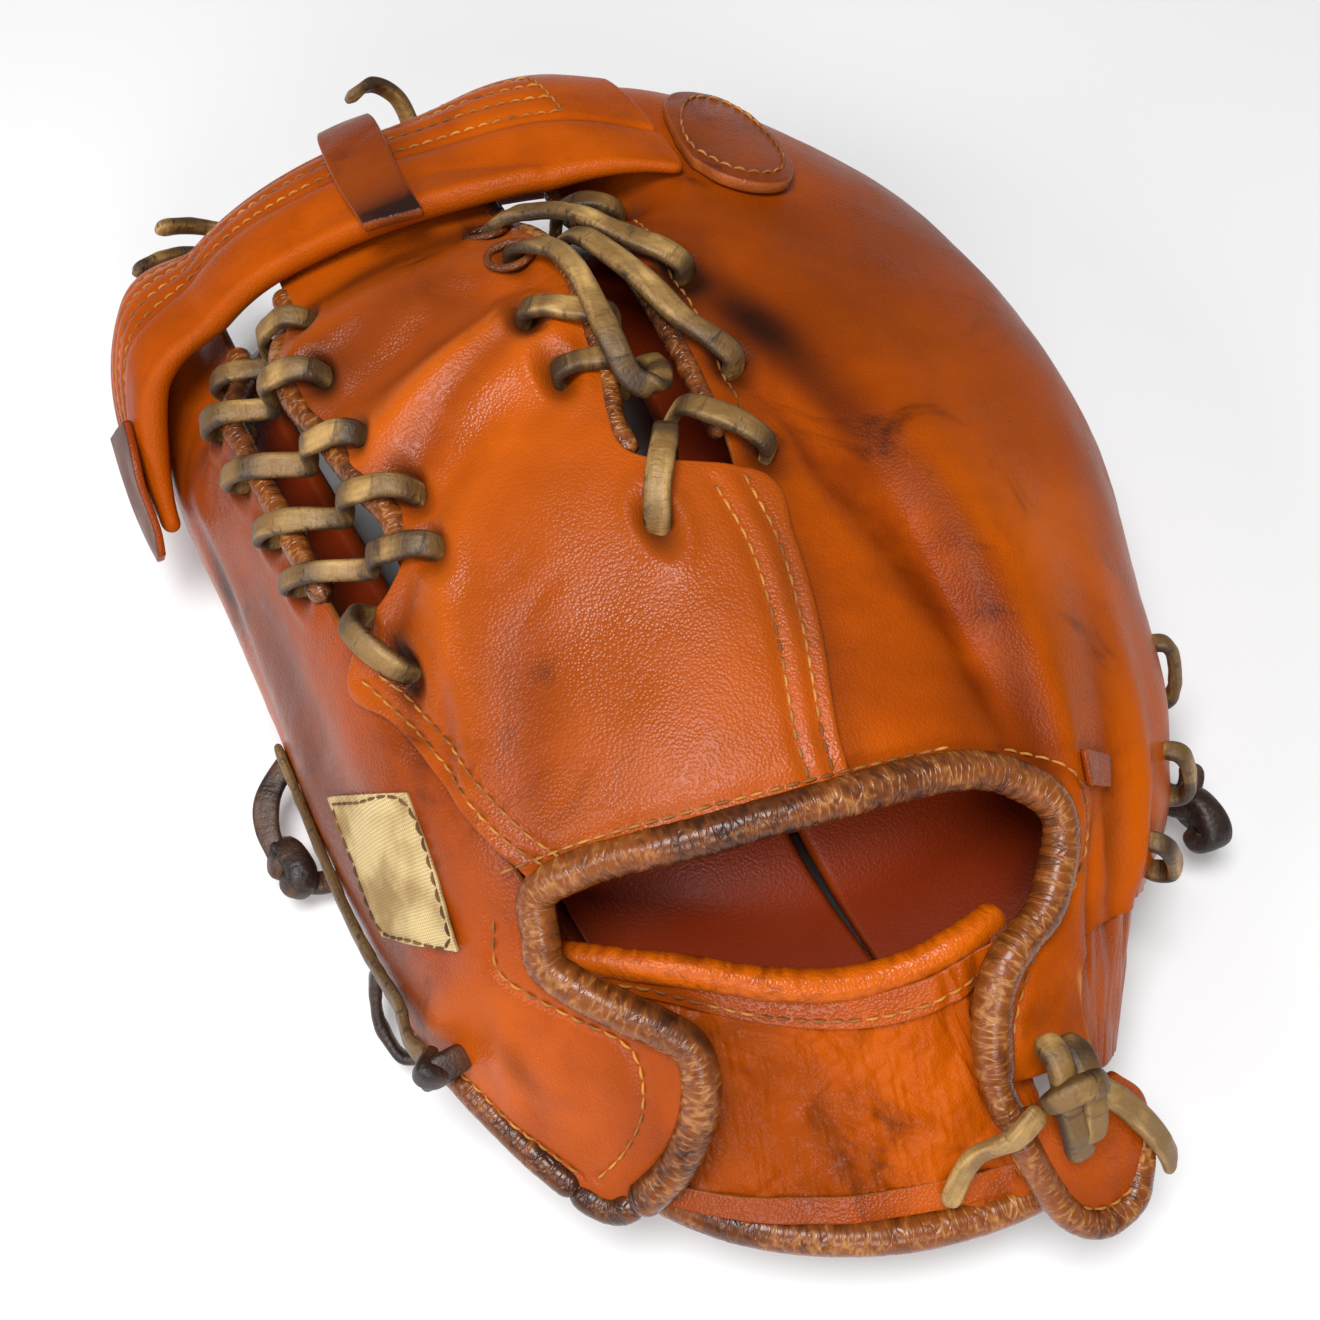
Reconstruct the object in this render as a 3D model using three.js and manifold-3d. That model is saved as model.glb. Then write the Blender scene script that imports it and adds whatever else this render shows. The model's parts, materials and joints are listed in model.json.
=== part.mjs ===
import * as THREE from 'three';
import { mergeVertices } from 'three/addons/utils/BufferGeometryUtils.js';
import Module from 'manifold-3d';

// A three-lobed leather mitt lying palm down. Millimetres, +Z up, fingers towards +Y.
// Nearly every piece is placed on one arched skin by u (across, -1 left rim to 1 right rim),
// v (along, 0 wrist hem to 7 finger tips) and a height above that skin.

const wasm = await Module();
wasm.setup();

// Driving dimensions
const centreX = 4.9; // middle of the whole mitt in the ribs' own frame, moved to x = 0
const centreY = 6.8; // and to y = 0
const rimTop = 22; // height at which the back leather meets the padded rim
const rimHalf = 10.6; // half thickness of the padded rim
const pocketHalf = 3.2; // half thickness of the palm in the pocket
const leather = 2.2; // thickness of a back panel
const overlap = 3.1; // height of the middle panel, which lies on its two neighbours
const gap = 0.35; // air between pieces that touch
const heelShare = 0.5; // thickness of the rim at the heel against its full thickness
const tipLoss = 0.3; // share of that thickness which the rim loses at the tips
const pressed = 0.84; // the rim's middle above the ground against its half thickness: it rests on a flat
const fullness = 2.1; // 2 gives a round arch, more gives a squarer one
const rollRadius = 3.9; // bindings of the opening, the flap and the hem
const gapRollRadius = 3; // bindings of the lobes along the laced gaps
const laceWidth = 6;
const laceThick = 2.8;
const looseWidth = 5; // the thinner laces over the rim and the loose tails
const tipSink = 12; // the lobes' tips lie this far below the padded tip strap
const palmInset = 2.3; // the padded rim's middle lies this much further in than its half thickness
const crownInset = 1.1; // the same along the crown, as a share of the inset at the feet
const acrossScale = 170; // millimetres of skin to one unit of u, near the crown
const alongScale = 46; // millimetres of skin to one unit of v

// Arched skin: one row for each rib, from the wrist hem to the finger tips
const ribs = [
  { leftX: -68, leftY: -78, crownX: 34, crownY: -141, crownZ: 33, rightX: 63, rightY: -112, palmZ: 8 },
  { leftX: -75, leftY: -60, crownX: 20, crownY: -102, crownZ: 70, rightX: 81, rightY: -88, palmZ: 24 },
  { leftX: -80, leftY: -38, crownX: 6, crownY: -69, crownZ: 93, rightX: 101, rightY: -58, palmZ: 54 },
  { leftX: -85, leftY: 0, crownX: 2, crownY: -14, crownZ: 104, rightX: 114, rightY: -8, palmZ: 69 },
  { leftX: -91, leftY: 46, crownX: 0, crownY: 40, crownZ: 104, rightX: 119, rightY: 42, palmZ: 71 },
  { leftX: -98, leftY: 90, crownX: -4, crownY: 92, crownZ: 99, rightX: 108, rightY: 90, palmZ: 66 },
  { leftX: -98, leftY: 126, crownX: -10, crownY: 136, crownZ: 85, rightX: 78, rightY: 130, palmZ: 38 },
  { leftX: -70, leftY: 154, crownX: -14, crownY: 162, crownZ: 22, rightX: 30, rightY: 158, palmZ: 12 },
];

// Folds of the back leather: middle, half length and half width in millimetres, turn from +X, height
const folds = [
  { u: -0.27, v: 4.32, long: 34, wide: 8, turn: 18, height: -4 },
  { u: -0.17, v: 3.98, long: 40, wide: 9, turn: 8, height: 3.2 },
  { u: -0.25, v: 3.62, long: 30, wide: 9, turn: 20, height: -3 },
  { u: -0.47, v: 2.85, long: 16, wide: 9, turn: 70, height: -3 },
  { u: 0.26, v: 2.9, long: 46, wide: 9, turn: 105, height: -3 },
  { u: 0.36, v: 2.5, long: 44, wide: 10, turn: 100, height: 3.4 },
  { u: 0.47, v: 1.55, long: 30, wide: 9, turn: 95, height: -3.2 },
  { u: 0.62, v: 3.6, long: 50, wide: 26, turn: 90, height: 3 },
  { u: -0.78, v: 3.3, long: 46, wide: 16, turn: 90, height: -3 },
  { u: -0.2, v: 2.7, long: 26, wide: 18, turn: 0, height: -2 },
];

const tones = {
  leather: { color: '#a9531f', roughness: 0.48 },
  padding: { color: '#a8622c', roughness: 0.55 },
  binding: { color: '#5d3419', roughness: 0.55 },
  lace: { color: '#8d7650', roughness: 0.75 },
  darkLace: { color: '#4a3222', roughness: 0.7 },
  cloth: { color: '#c7ab78', roughness: 0.95 },
};

// Smooth values between the rows of a table, by column
function between(rows, t) {
  const last = rows.length - 1;
  const i = Math.max(0, Math.min(Math.floor(t), last - 1));
  const s = t - i;
  const row = {};
  for (const key of Object.keys(rows[i])) {
    const b = rows[i][key];
    const c = rows[i + 1][key];
    const a = i > 0 ? rows[i - 1][key] : 2 * b - c;
    const d = i + 2 <= last ? rows[i + 2][key] : 2 * c - b;
    row[key] = 0.5 * (2 * b + (c - a) * s + (2 * a - 5 * b + 4 * c - d) * s ** 2
      + (3 * b - a - 3 * c + d) * s ** 3);
  }
  return row;
}

function smooth(low, high, x) {
  const t = Math.max(0, Math.min((x - low) / (high - low), 1));
  return t * t * (3 - 2 * t);
}

// Point of an arch whose feet and crown come from a rib: half a rounded square, from foot to foot
function archPoint(u, feet, crown) {
  const across = Math.sin(Math.min(Math.abs(u), 1) * Math.PI / 2);
  const rise = Math.max(1 - across ** fullness, 1e-6) ** (1 / fullness);
  const foot = u < 0 ? feet.left : feet.right;
  return new THREE.Vector3(
    crown.x + (foot.x - crown.x) * across,
    foot.y + (crown.y - foot.y) * rise,
    foot.z + (crown.z - foot.z) * rise,
  );
}

function skinPoint(u, v) {
  const rib = between(ribs, v);
  const feet = {
    left: { x: rib.leftX, y: rib.leftY, z: rimTop },
    right: { x: rib.rightX, y: rib.rightY, z: rimTop },
  };
  return archPoint(u, feet, { x: rib.crownX, y: rib.crownY, z: rib.crownZ });
}

// Half thickness of the padded rim, which gets thinner towards the heel and the tips
function rimThickness(v) {
  const heel = heelShare + (1 - heelShare) * smooth(0, 1.1, v);
  return rimHalf * heel * (1 - tipLoss * smooth(5.9, 7, v));
}

// Middle of the palm's thickness: an arch inside the skin that starts at the middle of the padded rim
function palmPoint(u, v) {
  const rib = between(ribs, v);
  const inset = rimHalf + palmInset;
  const shrink = (v - 3.5) / 3.5 * inset;
  const z = rimThickness(v) * pressed;
  const feet = {
    left: { x: rib.leftX + inset, y: rib.leftY - shrink, z },
    right: { x: rib.rightX - inset, y: rib.rightY - shrink, z },
  };
  return archPoint(u, feet, { x: rib.crownX, y: rib.crownY - shrink * crownInset, z: rib.palmZ });
}

function normalOf(surface, u, v) {
  const step = 0.012;
  const uLow = Math.max(u - step, -1);
  const uHigh = Math.min(u + step, 1);
  const alongU = surface(uHigh, v).sub(surface(uLow, v));
  const alongV = surface(u, v + step).sub(surface(u, v - step));
  return alongU.cross(alongV).normalize();
}

function foldHeight(u, v) {
  let height = 0;
  for (const fold of folds) {
    const x = (u - fold.u) * acrossScale;
    const y = (v - fold.v) * alongScale;
    const turn = THREE.MathUtils.degToRad(fold.turn);
    const along = (x * Math.cos(turn) + y * Math.sin(turn)) / fold.long;
    const aside = (y * Math.cos(turn) - x * Math.sin(turn)) / fold.wide;
    height += fold.height * Math.exp(-along * along - aside * aside);
  }
  return height;
}

// A place at a height above the skin; the lobes have a groove that holds the tip strap
function onSkin(u, v, height) {
  return skinPoint(u, v).addScaledVector(normalOf(skinPoint, u, v), height);
}

function onLobe(u, v, height) {
  const sides = (1 - smooth(0.72, 0.92, -u)) * (1 - smooth(0.13, 0.21, u));
  const groove = smooth(4.5, 5.08, v) * (1 - smooth(6.3, 6.8, v)) * sides;
  return onSkin(u, v, height + foldHeight(u, v) - tipSink * groove);
}

// Closed solids

function solidOf(positions, triangles) {
  let geometry = new THREE.BufferGeometry();
  geometry.setAttribute('position', new THREE.Float32BufferAttribute(positions, 3));
  geometry.setIndex(triangles);
  geometry = mergeVertices(geometry, 1e-3);
  const vertProperties = new Float32Array(geometry.attributes.position.array);
  const triVerts = new Uint32Array(geometry.index.array);
  const mesh = new wasm.Mesh({ numProp: 3, vertProperties, triVerts });
  let solid = new wasm.Manifold(mesh);
  if (solid.volume() < 0) {
    for (let k = 0; k < triVerts.length; k += 3) {
      [triVerts[k + 1], triVerts[k + 2]] = [triVerts[k + 2], triVerts[k + 1]];
    }
    solid = new wasm.Manifold(new wasm.Mesh({ numProp: 3, vertProperties, triVerts }));
  }
  return solid;
}

// A slab on a grid of cells. cellAt(t, s) gives the middle point, the normal and the half thickness.
// rings rounds the edge: 0 leaves it flat, more add rows of a half circle round all four sides.
// A cell's reach, if it has one, limits how far that round edge stands out.
function slab({ lines, columns, rings = 0, cellAt, floor = false }) {
  const cells = [];
  for (let i = 0; i <= lines; i += 1) {
    for (let j = 0; j <= columns; j += 1) {
      cells.push(cellAt(i / lines, j / columns));
    }
  }
  const index = (i, j) => i * (columns + 1) + j;
  const positions = [];
  const push = (point) => {
    positions.push(point.x - centreX, point.y - centreY, floor ? Math.max(point.z, 0) : point.z);
    return positions.length / 3 - 1;
  };
  for (const side of [1, -1]) {
    for (const cell of cells) {
      push(cell.point.clone().addScaledVector(cell.normal, side * cell.half));
    }
  }
  const count = cells.length;
  const triangles = [];
  for (let i = 0; i < lines; i += 1) {
    for (let j = 0; j < columns; j += 1) {
      const [a, b, c, d] = [index(i, j), index(i, j + 1), index(i + 1, j + 1), index(i + 1, j)];
      triangles.push(a, b, c, a, c, d);
      triangles.push(count + a, count + c, count + b, count + a, count + d, count + c);
    }
  }
  const edge = [];
  for (let j = 0; j < columns; j += 1) edge.push([0, j]);
  for (let i = 0; i < lines; i += 1) edge.push([i, columns]);
  for (let j = columns; j > 0; j -= 1) edge.push([lines, j]);
  for (let i = lines; i > 0; i -= 1) edge.push([i, 0]);
  const hoops = [edge.map(([i, j]) => index(i, j))];
  for (let ring = 1; ring <= rings; ring += 1) {
    const angle = Math.PI / 2 - Math.PI * ring / (rings + 1);
    hoops.push(edge.map(([i, j]) => {
      const cell = cells[index(i, j)];
      const innerLine = Math.max(1, Math.min(i, lines - 1));
      const innerColumn = Math.max(1, Math.min(j, columns - 1));
      const inner = cells[index(innerLine, innerColumn)];
      const out = cell.point.clone().sub(inner.point);
      out.addScaledVector(cell.normal, -out.dot(cell.normal)).normalize();
      const point = cell.point.clone()
        .addScaledVector(out, Math.min(cell.half, cell.reach ?? cell.half) * Math.cos(angle))
        .addScaledVector(cell.normal, cell.half * Math.sin(angle));
      return push(point);
    }));
  }
  hoops.push(edge.map(([i, j]) => count + index(i, j)));
  for (let ring = 0; ring + 1 < hoops.length; ring += 1) {
    for (let k = 0; k < edge.length; k += 1) {
      const next = (k + 1) % edge.length;
      const [upperA, upperB] = [hoops[ring][k], hoops[ring][next]];
      const [lowerA, lowerB] = [hoops[ring + 1][k], hoops[ring + 1][next]];
      triangles.push(upperB, upperA, lowerA, upperB, lowerA, lowerB);
    }
  }
  return solidOf(positions, triangles);
}

// A leather panel between two edge lines. Each row of its table joins a point of one line
// (u, v) to a point of the other (u2, v2); trim and trim2 hold the leather back from a roll.
function panel({ rows, lines, columns, height = 0, thick = leather, place = onLobe, last = 1 }) {
  const surface = (u, v) => place(u, v, height + thick / 2);
  return slab({
    lines,
    columns,
    cellAt: (t, s) => {
      const row = between(rows, t * last * (rows.length - 1));
      const wide = surface(row.u, row.v).distanceTo(surface(row.u2, row.v2));
      const from = (row.trim ?? 0) / wide;
      const to = 1 - (row.trim2 ?? 0) / wide;
      const share = from + (to - from) * s;
      const u = row.u + (row.u2 - row.u) * share;
      const v = row.v + (row.v2 - row.v) * share;
      return { point: surface(u, v), normal: normalOf(skinPoint, u, v), half: thick / 2 };
    },
  });
}

// Points [u, v, height] on one edge line of a table of rows, from row first to row last
function edgeLine(rows, side, first, last, height) {
  const steps = 2 * Math.abs(last - first);
  return Array.from({ length: steps + 1 }, (_, k) => {
    const row = between(rows, first + (last - first) * k / steps);
    return [row[`u${side}`], row[`v${side}`], height];
  });
}

// Sections of rolls and laces, as points across and above a route
function round(radius, sides = 8) {
  return Array.from({ length: sides }, (_, k) => {
    const angle = (k + 0.5) * 2 * Math.PI / sides;
    return [radius * Math.cos(angle), radius * Math.sin(angle)];
  });
}

function strip(width = laceWidth, thick = laceThick) {
  const [w, h] = [width / 2, thick / 2];
  return [[w, 0], [w * 0.62, h], [-w * 0.62, h], [-w, 0], [-w * 0.62, -h], [w * 0.62, -h]];
}

// A section carried along a route of points, without twist. up is the section's upward
// direction at the middle of the route.
function sweep(points, up, section, grow = 0) {
  const count = points.length;
  const tangent = points.map((_, k) => {
    const ahead = points[Math.min(k + 1, count - 1)];
    return ahead.clone().sub(points[Math.max(k - 1, 0)]).normalize();
  });
  const ups = new Array(count);
  const middle = Math.floor(count / 2);
  const flat = (vector, k) => vector.clone()
    .addScaledVector(tangent[k], -vector.dot(tangent[k]))
    .normalize();
  ups[middle] = flat(up, middle);
  for (let k = middle + 1; k < count; k += 1) ups[k] = flat(ups[k - 1], k);
  for (let k = middle - 1; k >= 0; k -= 1) ups[k] = flat(ups[k + 1], k);
  const positions = [];
  const triangles = [];
  const sides = section.length;
  points.forEach((point, k) => {
    const aside = tangent[k].clone().cross(ups[k]);
    const reach = k === 0 ? -grow : k === count - 1 ? grow : 0;
    for (const [x, y] of section) {
      const size = 1 + grow / Math.max(Math.hypot(x, y), 0.1);
      const corner = point.clone().addScaledVector(aside, x * size).addScaledVector(ups[k], y * size)
        .addScaledVector(tangent[k], reach);
      positions.push(corner.x - centreX, corner.y - centreY, corner.z);
    }
  });
  for (let k = 0; k + 1 < count; k += 1) {
    for (let j = 0; j < sides; j += 1) {
      const [a, b] = [k * sides + j, k * sides + (j + 1) % sides];
      triangles.push(a, b, b + sides, a, b + sides, a + sides);
    }
  }
  for (let j = 1; j + 1 < sides; j += 1) {
    const end = (count - 1) * sides;
    triangles.push(0, j + 1, j, end, end + j, end + j + 1);
  }
  return solidOf(positions, triangles);
}

// A smooth route over the skin through points [u, v, height], in equal steps
function route(points, steps, place = onLobe) {
  const curve = new THREE.CatmullRomCurve3(points.map(([u, v, height]) => (
    new THREE.Vector3(u * acrossScale, v * alongScale, height))), false, 'centripetal');
  return curve.getSpacedPoints(steps).map((p) => place(p.x / acrossScale, p.y / alongScale, p.z));
}

function upOf(points) {
  const [u, v] = points[Math.floor(points.length / 2)];
  return normalOf(skinPoint, u, v);
}

function skinSweep(points, steps, section, grow = 0, place = onLobe) {
  return sweep(route(points, steps, place), upOf(points), section, grow);
}

// The same with a corner at each of the points themselves
function skinSweepThrough(points, section) {
  return sweep(points.map((point) => onLobe(...point)), upOf(points), section);
}

// A smooth route in free space through points [x, y, z]
function freeRoute(points, steps) {
  const corners = points.map((point) => new THREE.Vector3(...point));
  return new THREE.CatmullRomCurve3(corners, false, 'centripetal').getSpacedPoints(steps);
}

// The largest body that is left of a solid once others are cut from it
function carve(solid, cutters) {
  let left = solid;
  for (const cutter of cutters) left = left.subtract(cutter);
  const bodies = left.decompose();
  return bodies.reduce((best, body) => (body.volume() > best.volume() ? body : best));
}

// Back panels, from the tips to the wrist. The first line of each table is the side of the gap,
// the seam and the opening, the second the rim; the middle panel's second line faces the thumb.

const hemRadius = 3.2;
const thinRadius = 2.3; // rolled edges beside the thumb gap
const rollTrim = rollRadius + gap + 0.2; // the leather ends this far from the middle of a roll
const gapTrim = gapRollRadius + gap + 1.3;
const hemTrim = hemRadius + gap + 0.2;
const thinTrim = thinRadius + gap + 1.5;

const backFingerRows = [
  { u: -0.64, v: 6.93, u2: -0.97, v2: 6.93, trim: 0, trim2: 0 },
  { u: -0.64, v: 6.4, u2: -1, v2: 6.4, trim: 0, trim2: 0 },
  { u: -0.63, v: 5.6, u2: -1, v2: 5.7, trim: gapTrim, trim2: 0 },
  { u: -0.612, v: 4.84, u2: -1, v2: 5, trim: gapTrim, trim2: 0 },
  { u: -0.604, v: 4.2, u2: -1, v2: 4.3, trim: gapTrim, trim2: 0 },
  { u: -0.572, v: 3.45, u2: -1, v2: 3.5, trim: gapTrim, trim2: 0 },
  { u: -0.53, v: 2.95, u2: -1, v2: 3, trim: 0, trim2: 0 },
  { u: -0.45, v: 2.4, u2: -1, v2: 2.4, trim: 0, trim2: 0 },
  { u: -0.41, v: 1.94, u2: -1, v2: 1.9, trim: rollTrim, trim2: 0 },
  { u: -0.45, v: 1.6, u2: -1, v2: 1.45, trim: rollTrim, trim2: 0 },
  { u: -0.38, v: 1.24, u2: -0.985, v2: 1.12, trim: rollTrim, trim2: hemTrim },
  { u: -0.318, v: 1, u2: -0.89, v2: 0.96, trim: rollTrim, trim2: hemTrim },
  { u: -0.345, v: 0.72, u2: -0.8, v2: 0.7, trim: rollTrim, trim2: hemTrim },
  { u: -0.42, v: 0.44, u2: -0.71, v2: 0.38, trim: rollTrim, trim2: hemTrim },
  { u: -0.52, v: 0.2, u2: -0.62, v2: 0.17, trim: rollTrim, trim2: hemTrim },
];
const backMiddleRows = [
  { u: -0.47, v: 6.93, u2: -0.05, v2: 6.93, trim: 0, trim2: 0 },
  { u: -0.45, v: 6.3, u2: -0.04, v2: 6.3, trim: 0, trim2: 0 },
  { u: -0.44, v: 5.6, u2: -0.035, v2: 5.6, trim: gapTrim, trim2: thinTrim },
  { u: -0.448, v: 4.9, u2: -0.025, v2: 4.85, trim: gapTrim, trim2: thinTrim },
  { u: -0.462, v: 4.3, u2: -0.002, v2: 4.35, trim: gapTrim, trim2: thinTrim },
  { u: -0.41, v: 3.75, u2: -0.022, v2: 3.75, trim: gapTrim, trim2: thinTrim },
  { u: -0.405, v: 3.38, u2: -0.03, v2: 3.4, trim: gapTrim, trim2: thinTrim },
  { u: -0.575, v: 3.04, u2: 0.1, v2: 3.18, trim: 0, trim2: 0 },
  { u: -0.53, v: 2.8, u2: 0.106, v2: 2.9, trim: 0, trim2: 0 },
  { u: -0.488, v: 2.56, u2: 0.095, v2: 2.56, trim: 0, trim2: 0 },
  { u: -0.43, v: 2.2, u2: 0.068, v2: 2.2, trim: 0, trim2: 0 },
  { u: -0.395, v: 2.01, u2: 0.06, v2: 1.98, trim: 0, trim2: 0 },
];
const backThumbRows = [
  { u: 0.1, v: 6.93, u2: 0.97, v2: 6.93, trim: 0, trim2: 0 },
  { u: 0.08, v: 6.4, u2: 1, v2: 6.4, trim: 0, trim2: 0 },
  { u: 0.075, v: 5.7, u2: 1, v2: 5.8, trim: thinTrim, trim2: 0 },
  { u: 0.068, v: 4.8, u2: 1, v2: 5, trim: thinTrim, trim2: 0 },
  { u: 0.072, v: 4.1, u2: 1, v2: 4.2, trim: thinTrim, trim2: 0 },
  { u: 0.078, v: 3.4, u2: 1, v2: 3.5, trim: thinTrim, trim2: 0 },
  { u: 0.06, v: 2.9, u2: 1, v2: 2.95, trim: 0, trim2: 0 },
  { u: 0.05, v: 2.4, u2: 1, v2: 2.4, trim: 0, trim2: 0 },
  { u: 0.06, v: 1.98, u2: 1, v2: 2, trim: rollTrim, trim2: 0 },
  { u: 0.24, v: 1.95, u2: 1, v2: 1.72, trim: rollTrim, trim2: 0 },
  { u: 0.345, v: 1.75, u2: 1, v2: 1.45, trim: rollTrim, trim2: 0 },
  { u: 0.35, v: 1.48, u2: 0.92, v2: 1.22, trim: rollTrim, trim2: 0 },
  { u: 0.29, v: 1.18, u2: 0.66, v2: 1.08, trim: rollTrim, trim2: 0 },
  { u: 0.175, v: 1, u2: 0.42, v2: 0.93, trim: rollTrim, trim2: 0 },
  { u: 0.1, v: 0.79, u2: 0.36, v2: 0.74, trim: rollTrim, trim2: 0 },
  { u: 0.04, v: 0.52, u2: 0.37, v2: 0.48, trim: rollTrim, trim2: 0 },
];
const rowsToOneV = 5; // the middle panel's last rows, near the opening, lie a fifth of v apart
const middleEnd = 1 - rollTrim / alongScale / (backMiddleRows.length - 1) * rowsToOneV;

// Bindings and rolls follow the same edge lines
const lastMiddle = backMiddleRows[backMiddleRows.length - 1];
const middleRollHeight = 3.8;
const bottomMiddle = [0.85, 0.5, 0.15].map((s) => [
  lastMiddle.u + (lastMiddle.u2 - lastMiddle.u) * s,
  lastMiddle.v + (lastMiddle.v2 - lastMiddle.v) * s,
  middleRollHeight,
]);
const openingLine = [
  ...edgeLine(backThumbRows, '', 15, 9, 2.2),
  ...bottomMiddle,
  ...edgeLine(backFingerRows, '', 8, 14, 2.2),
];
const hemLine = edgeLine(backFingerRows, '2', 14, 10, 1.2);
const fingerGapLine = edgeLine(backFingerRows, '', 2.5, 5, 2.1);
const middleFingerLine = edgeLine(backMiddleRows, '', 2.5, 6, 3.6);
const middleThumbLine = edgeLine(backMiddleRows, '2', 2.5, 6, 3.8);
const thumbGapLine = edgeLine(backThumbRows, '', 2.5, 5, 2.1);
const tabLine = [
  [0.03, 0.41, 5.6], [0.035, 0.2, 5.6], [0.06, 0.02, 5.6], [0.13, -0.09, 5.6], [0.26, -0.14, 6.5],
  [0.38, -0.1, 7.5], [0.45, 0.05, 7.5], [0.46, 0.2, 6],
];
const strapTopLine = [
  [-0.52, 1.56, -8], [-0.44, 1.47, -8], [-0.37, 1.37, -8], [-0.3, 1.28, -8], [-0.19, 1.1, -8.5],
  [-0.08, 1.01, -8.5], [0.03, 1.02, -8], [0.12, 1.06, -7.5], [0.2, 1.1, -8], [0.26, 1.15, -8.5],
];
const strapBottomLine = [
  [-0.52, 0.14, -6.5], [-0.4, 0.06, -4], [-0.25, 0, -2.6], [-0.1, -0.02, -2.4], [0.03, 0, -3.6],
  [0.16, 0.05, -6],
];

const gapRollSection = round(gapRollRadius, 6);
const rollRoutes = {
  opening_binding: { points: openingLine, steps: 36, section: round(rollRadius, 6) },
  finger_hem_binding: { points: hemLine, steps: 9, section: round(hemRadius, 6) },
  finger_gap_roll: { points: fingerGapLine, steps: 12, section: gapRollSection },
  middle_finger_roll: { points: middleFingerLine, steps: 13, section: gapRollSection },
  middle_thumb_roll: { points: middleThumbLine, steps: 12, section: round(thinRadius, 6) },
  thumb_gap_roll: { points: thumbGapLine, steps: 12, section: round(thinRadius, 6) },
};

// Laces through eyelets: each one starts inside a lobe, comes up through the leather, goes over the
// rolled edge, dips into the gap and goes over the other edge into its eyelet
const inside = -7; // height of a lace's hidden end
const belowLeather = -1; // height at which it comes to its eyelet
const fingerOver = 7.5; // middle of a lace over the finger lobe's rolled edge
const middleOver = 9.1; // and over the middle lobe's
const laceBend = 2.2; // how much lower a lace leaves its eyelet
const nudge = 0.02; // how far along u it has bent by then
const shoulder = 0.9; // how much lower it is beside the middle lobe's rolled edge

function crossing({ from, to, dip, lift = 0 }) {
  const [u1, v1] = from;
  const [u2, v2] = to;
  const side = Math.sign(u2 - u1) * nudge;
  const mix = (k) => [u1 + (u2 - u1) * k, v1 + (v2 - v1) * k];
  return [
    [u1, v1, inside],
    [u1, v1, belowLeather],
    [u1, v1, fingerOver - laceBend],
    [u1 + side, mix(0.08)[1], fingerOver + lift],
    [...mix(0.23), fingerOver + lift],
    [...mix(0.5), dip],
    [...mix(0.7), middleOver - shoulder + lift],
    [...mix(0.81), middleOver + lift],
    [u2 - side, mix(0.92)[1], middleOver + lift],
    [u2, v2, middleOver - laceBend],
    [u2, v2, belowLeather],
    [u2, v2, inside],
  ];
}

const fingerLaces = [
  { from: [-0.665, 4.98], to: [-0.395, 4.78], dip: 0, lift: 1.9 },
  { from: [-0.66, 4.64], to: [-0.405, 4.4], dip: -1, lift: 0.6 },
  { from: [-0.655, 4.3], to: [-0.385, 3.98], dip: -1, lift: 0.3 },
  { from: [-0.64, 3.93], to: [-0.345, 3.62], dip: -1, lift: 0.4 },
  { from: [-0.625, 3.62], to: [-0.345, 3.34], dip: 0 },
];
const laceRoutes = {};
fingerLaces.forEach((lace, k) => {
  laceRoutes[`finger_gap_lace_${k + 1}`] = crossing(lace);
});
laceRoutes.thumb_gap_lace_1 = [
  [-0.065, 4.86, -7], [-0.065, 4.86, -1], [-0.063, 4.855, 6.6], [-0.042, 4.83, 9.2], [0.005, 4.78, 9.4],
  [0.035, 4.67, 8.6], [0.057, 4.52, 7.8], [0.085, 4.4, 7.4], [0.11, 4.32, 6.8], [0.127, 4.27, 4],
  [0.128, 4.26, -1], [0.128, 4.26, -7],
];
laceRoutes.thumb_gap_lace_2 = [
  [0.018, 4.7, -5], [0.018, 4.66, -1], [0.02, 4.58, 3.2], [0.028, 4.47, 7.6], [0.042, 4.34, 9],
  [0.064, 4.12, 8.6], [0.085, 3.93, 7.6], [0.11, 3.81, 6.8], [0.128, 3.75, 4], [0.13, 3.74, -1],
  [0.13, 3.74, -7],
];
laceRoutes.thumb_gap_lace_3 = [
  [-0.06, 4.54, -7], [-0.06, 4.54, -1], [-0.058, 4.53, 6.6], [-0.036, 4.48, 9], [-0.012, 4.4, 9.2],
  [-0.004, 4.27, 10.2], [-0.006, 4.12, 11.8], [-0.006, 3.97, 12], [-0.005, 3.82, 12.6],
  [0.006, 3.68, 7.5], [0.028, 3.66, 5], [0.043, 3.75, 3.2], [0.044, 3.86, 0], [0.043, 3.94, -5],
];
laceRoutes.thumb_gap_lace_4 = [
  [0.036, 3.58, -5], [0.038, 3.57, -1], [0.05, 3.53, 5.6], [0.072, 3.45, 7.6], [0.1, 3.37, 7.2],
  [0.121, 3.31, 4.4], [0.124, 3.3, -1], [0.124, 3.3, -7],
];
laceRoutes.thumb_gap_lace_5 = [
  [-0.09, 4.16, -7], [-0.09, 4.16, -1], [-0.088, 4.155, 6.6], [-0.066, 4.12, 8.4], [-0.035, 4.07, 8.4],
  [-0.01, 4.03, 8.6], [0.01, 4.01, 7.6], [0.015, 4, 1], [0.015, 4, -5],
];
laceRoutes.thumb_gap_lace_6 = [
  [-0.083, 3.84, -7], [-0.083, 3.84, -1], [-0.081, 3.84, 6.6], [-0.06, 3.83, 8.4], [-0.035, 3.82, 8.4],
  [-0.015, 3.81, 8.4], [0.002, 3.8, 6.4], [0.005, 3.8, 1], [0.005, 3.8, -5],
];
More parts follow.
